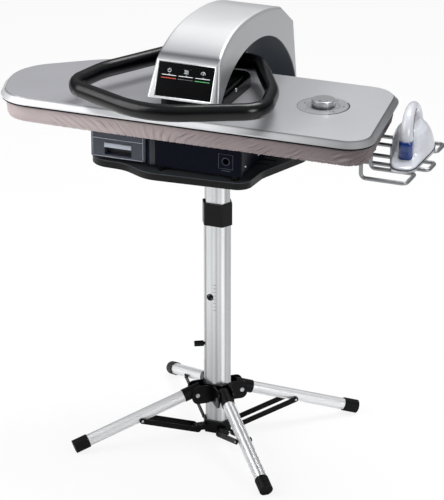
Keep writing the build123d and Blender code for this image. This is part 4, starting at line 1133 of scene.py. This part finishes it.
class PRESS_OT_tank(Maker, bpy.types.Operator):
    """Pale lines that paint the highlights on the water tank's ridge and edges, its pull lip, and a dark back
    to its recess that paints the shade in it
    """
    bl_idname = "press.tank"
    bl_label = "Water tank details"

    inset = 0.007

    def make(self, context):
        low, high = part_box("water_tank")
        face = low.y
        left, right = low.x + self.inset, high.x - self.inset
        # pale lines that paint highlights along the ridge, the sides and the foot
        ridge = [(right, face - 0.0004), (left, face - 0.0004), (low.x - 0.0004, face + self.inset),
                 (low.x - 0.0004, high.y - self.inset)]
        rods("tank_ridge", "tank_edge", "tank",
             [([(x, y, high.z - 0.034) for x, y in ridge], 0.0009)])
        lines = [([(x, face - 0.0002, z) for z in (low.z + 0.004, high.z - 0.006)], 0.0006)
                 for x in (left, right)]
        foot_highlight = [(x, face - 0.0002, low.z + 0.0012) for x in (left, right)]
        rods("tank_edges", "tank_edge", "tank", lines + [(foot_highlight, 0.0008)])
        start, end = low.x + 0.039, low.x + 0.112
        bottom, top = low.z + 0.0067, low.z + 0.0277
        slabs("tank_lip", "tank_edge", "tank", (
            ((start, face - 0.0028, top - 0.001), (end, face + 0.0015, top + 0.011), 0.001),), 40)
        # dark back of the recess: painted shade
        slabs("tank_recess_back", "tank_dark", "tank", (
            ((start + 0.0005, face + 0.018, bottom + 0.001), (end - 0.0005, face + 0.0213, top - 0.001)),))


class PRESS_OT_tray(Maker, bpy.types.Operator):
    """Ribs on the tray and screws of its bracket"""
    bl_idname = "press.tray"
    bl_label = "Tray details"

    def make(self, context):
        low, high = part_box("tray")
        grown("tray_ribs", "row", "gloss_black", "lift", "tray_charcoal",
              slab_seed((-0.022, -0.0009, -0.0002), (0.022, 0.0009, 0.0012), 0.0004),
              Count=context.scene.press_sizes.tray_ribs,
              Start=Vector((high.x - 0.08, low.y + 0.164, high.z - 0.0015)), Step=Vector((0.008, 0.032, 0)))
        low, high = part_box("tray_bracket")
        inset = 0.012
        grown("bracket_screws", "row", "pin_steel", "lift", "pin_steel", rivet_seed(0.005, 0.0025, pi, "X"),
              Count=2, Start=Vector((low.x + inset, (low.y + high.y) / 2, high.z - 0.004)),
              Step=Vector((high.x - low.x - 2 * inset, 0, 0)))


class PRESS_OT_stand(Maker, bpy.types.Operator):
    """Leg flutes, rivets, knob tip and column marks"""
    bl_idname = "press.stand"
    bl_label = "Stand details"

    flute_turns = (38, 142, 218, 322)
    flute_out = 0.0152
    flute_radius = 0.0012
    rivet_outs = (0.0215, 0.0223, 0.0229)
    rivet_radii = (0.0032, 0.003, 0.0016)

    def make(self, context):
        for number in range(1, 5):
            self.leg(number)
            self.rivets(number)
        self.column()

    def leg(self, number):
        along = (pivot(f"strut_turn_{number}") - pivot(f"leg_fold_{number}")).normalized()
        across = axis(f"leg_fold_{number}")
        above = along.cross(across)
        if above.z < 0:
            above = -above
        centre = middle(f"leg_tube_{number}")
        start = (middle(f"leg_boot_{number}") - centre).dot(along) + 0.026
        end = (middle(f"foot_cap_{number}") - centre).dot(along) - 0.021
        lines = [centre + (across * cos(radians(turn)) + above * sin(radians(turn))) * self.flute_out
                 for turn in self.flute_turns]
        rods(f"leg_flutes_{number}", "leg_alloy", f"leg_{number}",
             [([line + along * start, line + along * end], self.flute_radius) for line in lines], smooth=50)

    def rivets(self, number):
        across = axis(f"leg_fold_{number}")
        place = pivot(f"strut_turn_{number}")
        rods(f"strut_rivets_{number}", "pin_steel", f"strut_link_{number}",
             [([place + across * turn * out for out in self.rivet_outs], self.rivet_radii)
              for turn in (1, -1)], 14)

    def column(self):
        knob = middle("lock_knob")
        way = axis("lock_slide")
        tip = reach("lock_knob", knob, way)
        rods("knob_tip", "pin_steel", "lock",
             [([knob + way * (tip + out) for out in (-0.004, 0, 0.0012)], (0.0045, 0.0045, 0.003))], 16)
        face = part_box("outer_column")[0].y
        button = middle("height_button")
        rods("button_ring", "moulded_black", "stand",
             [(circle(button.x, face, button.z, 0.0074), 0.0018)])
        grown("height_marks", "row", "seam_dark", "stand", "tube_alloy",
              slab_seed((-0.0035, -0.00015, -0.0004), (0.0035, 0.0002, 0.0004)), Count=8,
              Start=Vector((button.x + 0.012, face, button.z - 0.035)), Step=Vector((0, 0, 0.01)))


class PRESS_OT_iron(Maker, bpy.types.Operator):
    """Moulded body, handle seam, tank and steam holes of the side iron"""
    bl_idname = "press.iron"
    bl_label = "Side iron"

    turn = radians(9)
    skin_size = 0.0019
    tank_half_width = 0.0178
    tank_half_depth = 0.0195
    tank_behind_nose = 0.064
    tank_sides = 48
    trigger_play = 0.0008

    def make(self, context):
        low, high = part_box("iron_sole")
        ring, total, centre = outline_of("iron_sole", 96)
        self.home = Matrix.Translation((centre.x, centre.y, low.z)) @ Matrix.Rotation(self.turn, 4, "Z")
        back = self.home.inverted()
        self.outline = [back @ Vector((point.x, point.y, low.z)) for point, outward in ring]
        self.nose = min(point.y for point in self.outline)
        self.sole = high.z - low.z
        strand = self.strand()
        self.body(strand)
        self.seams(strand)
        self.clear_tank()
        self.holes()

    def ring(self, across, ahead, behind, up):
        """The sole's outline with its own share of the width, the front and the rear."""
        return [Vector((point.x * across, point.y * (ahead if point.y < 0 else behind), self.sole + up))
                for point in self.outline]

    def strand(self):
        """Points and radii of the handle, from the nose deck over to the heel."""
        line = ((0.064, 0.012, 0.017), (0.066, 0.045, 0.0165), (0.071, 0.08, 0.0155), (0.085, 0.104, 0.0145),
                (0.11, 0.1165, 0.0135), (0.145, 0.117, 0.0135), (0.18, 0.108, 0.014), (0.206, 0.086, 0.0155),
                (0.215, 0.058, 0.018), (0.212, 0.035, 0.02))
        return self.smooth_line([Vector((self.nose + y, z, r)) for y, z, r in line], 44)

    def home_mesh(self, name, form):
        """Mesh of a form made in the iron's own frame, turned into place."""
        bmesh.ops.transform(form, matrix=self.home, verts=form.verts)
        bmesh.ops.recalc_face_normals(form, faces=form.faces)
        return mesh_of(name, form)

    def finished(self, name, form, look, slot, smooth):
        bmesh.ops.transform(form, matrix=self.home, verts=form.verts)
        return from_bmesh(name, form, look, "iron", smooth)

    def body(self, strand):
        form = bmesh.new()
        shares = ((0.98, 0.98, 0.98, 0.0004), (0.985, 0.98, 0.985, 0.004), (0.965, 0.92, 0.975, 0.008),
                  (0.95, 0.66, 0.97, 0.012), (0.93, 0.46, 0.955, 0.019), (0.88, 0.36, 0.925, 0.031),
                  (0.79, 0.29, 0.865, 0.044), (0.66, 0.22, 0.78, 0.056), (0.46, 0.14, 0.64, 0.065),
                  (0.2, 0.06, 0.4, 0.069))
        ring_wall(form, [self.ring(*row) for row in shares])
        tube(form, [(0, y, z) for y, z, r in strand], [r for y, z, r in strand], 24)
        piece = shown("iron_body", self.home_mesh("iron_body", form), "iron_white", 180)
        skin = piece.modifiers.new("one skin", "REMESH")
        skin.mode = "VOXEL"
        skin.voxel_size = self.skin_size
        softer = piece.modifiers.new("soften", "SMOOTH")
        softer.factor = 0.6
        softer.iterations = 6
        cutter = self.trigger_room()
        pocket = piece.modifiers.new("pocket", "BOOLEAN")
        pocket.operation = "DIFFERENCE"
        pocket.object = cutter
        baked(piece)
        bpy.data.objects.remove(cutter)
        piece.data.shade_smooth()
        settle(piece, "iron")
        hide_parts("iron_shell")

    def trigger_room(self):
        """Box round the steam trigger from its rest to its pressed place."""
        back = self.home.inverted()
        points = [back @ vert.co for vert in frame["nodes"]["steam_trigger"].data.vertices]
        press = back.to_3x3() @ axis("trigger_slide") * joints["trigger_slide"]["range_m"][1]
        low = [min(values) - self.trigger_play for values in zip(*points)]
        high = [max(values) + self.trigger_play for values in zip(*points)]
        form = bmesh.new()
        slab(form, [min(a, a + b) for a, b in zip(low, press)], [max(a, a + b) for a, b in zip(high, press)])
        return shown("trigger_room", self.home_mesh("trigger_room", form), "iron_white")

    def seams(self, strand):
        """Dark line down the handle's right side, and the dark gasket on the sole."""
        form = bmesh.new()
        tube(form, [(r * 0.97, y + r * 0.12, z + r * 0.12) for y, z, r in strand[8:24]], 0.0011, 8)
        self.finished("iron_seam", form, "seam_dark", "iron_white", 60)
        form = bmesh.new()
        ring_wall(form, [self.ring(share, share, share, up) for share, up in
                         ((0.99, -0.0006), (1.004, 0.0002), (1.004, 0.0022), (0.985, 0.003))])
        self.finished("iron_gasket", form, "seam_dark", "iron_white", 40)

    def clear_tank(self):
        """Rounded square tank that narrows at its foot and its top."""
        turns = [tau * k / self.tank_sides for k in range(self.tank_sides)]
        section = [(self.tank_half_width * self.squared(cos(turn)),
                    self.tank_half_depth * self.squared(sin(turn))) for turn in turns]
        middle_y = self.nose + self.tank_behind_nose
        form = bmesh.new()
        ring_wall(form, [[(share * x, middle_y + share * y, z) for x, y in section]
                         for share, z in ((0.8, 0.014), (0.96, 0.0155), (1.0, 0.019), (1.0, 0.05),
                                          (0.98, 0.058), (0.93, 0.061))])
        tank = self.finished("iron_clear_tank", form, "iron_blue", "iron_blue", 50)
        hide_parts("iron_tank")

    def holes(self):
        seed = bmesh.new()
        tube(seed, [(0.026, 0, -0.0003), (0.026, 0, 0.0006)], 0.0016, 10)
        grown("steam_holes", "ring", "seam_dark", "iron", "plate_alloy", seed, Count=9,
              First_Angle=radians(200) + self.turn, Angle_Step=radians(17.5),
              Centre=self.home @ Vector((0, self.nose + 0.07, 0)))

    def squared(self, value):
        """Cosine drawn towards a rounded square."""
        return abs(value) ** 0.62 * (1 if value >= 0 else -1)

    def smooth_line(self, spots, count):
        """Points along a smooth curve through a few given ones."""
        result = []
        last = len(spots) - 1
        for number in range(count + 1):
            place = number / count * last
            here = min(int(place), last - 1)
            t = place - here
            a, b = spots[max(here - 1, 0)], spots[here]
            c, d = spots[here + 1], spots[min(here + 2, last)]
            point = 0.5 * (2 * b + (c - a) * t + (2 * a - 5 * b + 4 * c - d) * t ** 2
                           + (3 * b - a - 3 * c + d) * t ** 3)
            result.append(tuple(point))
        return result


class PRESS_OT_stage(Maker, bpy.types.Operator):
    """Pale floor, soft lights and the camera"""
    bl_idname = "press.stage"
    bl_label = "Studio"

    picture = (444, 500)
    column_at = (217.345, 253.555)
    aim_height = 0.5
    floor_white = 0.86
    floor_gap = 0.0005

    def make(self, context):
        self.floor()
        self.world(context)
        self.lights(context.scene.press_stage)
        self.camera(context)

    def seen_directly(self, wires):
        """1 for rays from the camera or through a clear piece."""
        path = wires.add("LightPath").outputs
        return wires.combine("MAXIMUM", path["Is Camera Ray"], path["Is Transmission Ray"])

    def floor(self):
        material = bpy.data.materials.new("pale floor")
        material.use_nodes = True
        wires = Wires(material.node_tree)
        wires.nodes.remove(wires.nodes["Principled BSDF"])
        matt = wires.add("BsdfDiffuse")
        matt.inputs["Color"].default_value = (0.82, 0.82, 0.82, 1)
        mix = wires.add("MixShader")
        white = wires.combine("MULTIPLY", self.seen_directly(wires), self.floor_white)
        wires.join(white, mix.inputs["Fac"])
        wires.join(matt.outputs[0], mix.inputs[1])
        wires.join(wires.add("Emission").outputs[0], mix.inputs[2])
        wires.join(mix.outputs[0], wires.nodes["Material Output"].inputs["Surface"])
        form = bmesh.new()
        bmesh.ops.create_grid(form, x_segments=1, y_segments=1, size=14)
        floor = placed("studio_floor", mesh_of("studio_floor", form))
        floor.data.materials.append(material)
        floor.location.z = cad_box[0][2] - self.floor_gap

    def world(self, context):
        """White to the camera, and for all else bright above and dim at the horizon."""
        world = bpy.data.worlds.new("studio")
        context.scene.world = world
        world.use_nodes = True
        wires = Wires(world.node_tree)
        back = wires.nodes["Background"].inputs
        back["Color"].default_value = (1, 1, 1, 1)
        glow = wires.spread(wires.split("TexCoord", "Generated")["Z"], 0.1, 0.6, 0.15, 0.8)
        wires.join(wires.combine("MAXIMUM", self.seen_directly(wires), glow), back["Strength"])

    def lights(self, stage):
        for name, place, aim, size, share in (
                ("key", (-1.9, -1.5, 2.0), (-0.1, 0, 0.8), 2.2, 0.42),
                ("fill", (3.8, -2.2, 1.9), (0.1, 0, 0.7), 1.4, 0.4),
                ("top", (0.6, 1.2, 4.6), (0, 0, 0.9), 2.0, 0.9)):
            lamp = bpy.data.lights.new(name, "AREA")
            lamp.size = size
            lamp.energy = stage.key_power * share
            source = placed(name, lamp)
            source.location = place
            source.rotation_euler = (Vector(aim) - Vector(place)).to_track_quat("-Z", "Y").to_euler()

    def camera(self, context):
        """The photo's view: the column at aim_height is seen at column_at, in pixels of the picture."""
        stage = context.scene.press_stage
        column = middle("outer_column")
        turn, lift = stage.azimuth, stage.elevation
        back = Vector((sin(turn) * cos(lift), -cos(turn) * cos(lift), sin(lift)))
        lens = bpy.data.cameras.new("camera")
        lens.sensor_fit = "VERTICAL"
        lens.sensor_height = 36
        lens.lens = stage.lens
        width, height = self.picture
        lens.shift_x = (width / 2 - self.column_at[0]) / height
        lens.shift_y = (self.column_at[1] - height / 2) / height
        camera = placed("camera", lens)
        camera.location = Vector((column.x, column.y, self.aim_height)) + back * stage.distance
        camera.rotation_euler = (-back).to_track_quat("-Z", "Y").to_euler()
        context.scene.camera = camera
        context.scene.view_settings.view_transform = "Standard"


STEPS = (PRESS_OT_nodes, PRESS_OT_cover, PRESS_OT_plate, PRESS_OT_panel, PRESS_OT_dial, PRESS_OT_arm,
         PRESS_OT_base, PRESS_OT_tank, PRESS_OT_tray, PRESS_OT_stand, PRESS_OT_iron, PRESS_OT_stage)


class PRESS_PT_panel(bpy.types.Panel):
    """Sizes, colours and steps of the press"""
    bl_idname = "PRESS_PT_panel"
    bl_label = "Steam ironing press"
    bl_space_type = "VIEW_3D"
    bl_region_type = "UI"
    bl_category = "Press"

    def draw(self, context):
        for group in (context.scene.press_finishes, context.scene.press_sizes, context.scene.press_stage):
            box = self.layout.box()
            for name in group.bl_rna.properties.keys():
                if name not in ("rna_type", "name"):
                    box.prop(group, name)
        for step in STEPS:
            self.layout.operator(step.bl_idname)


CLASSES = (PressFinishes, PressSizes, PressStage, *STEPS, PRESS_PT_panel)


def register():
    for each in CLASSES:
        bpy.utils.register_class(each)
    bpy.types.Scene.press_finishes = PointerProperty(type=PressFinishes)
    bpy.types.Scene.press_sizes = PointerProperty(type=PressSizes)
    bpy.types.Scene.press_stage = PointerProperty(type=PressStage)


def unregister():
    del bpy.types.Scene.press_finishes
    del bpy.types.Scene.press_sizes
    del bpy.types.Scene.press_stage
    for each in reversed(CLASSES):
        bpy.utils.unregister_class(each)


def main():
    """Make everything in order."""
    register()
    for step in STEPS:
        group, name = step.bl_idname.split(".")
        getattr(getattr(bpy.ops, group), name)()


if __name__ == "__main__":
    main()
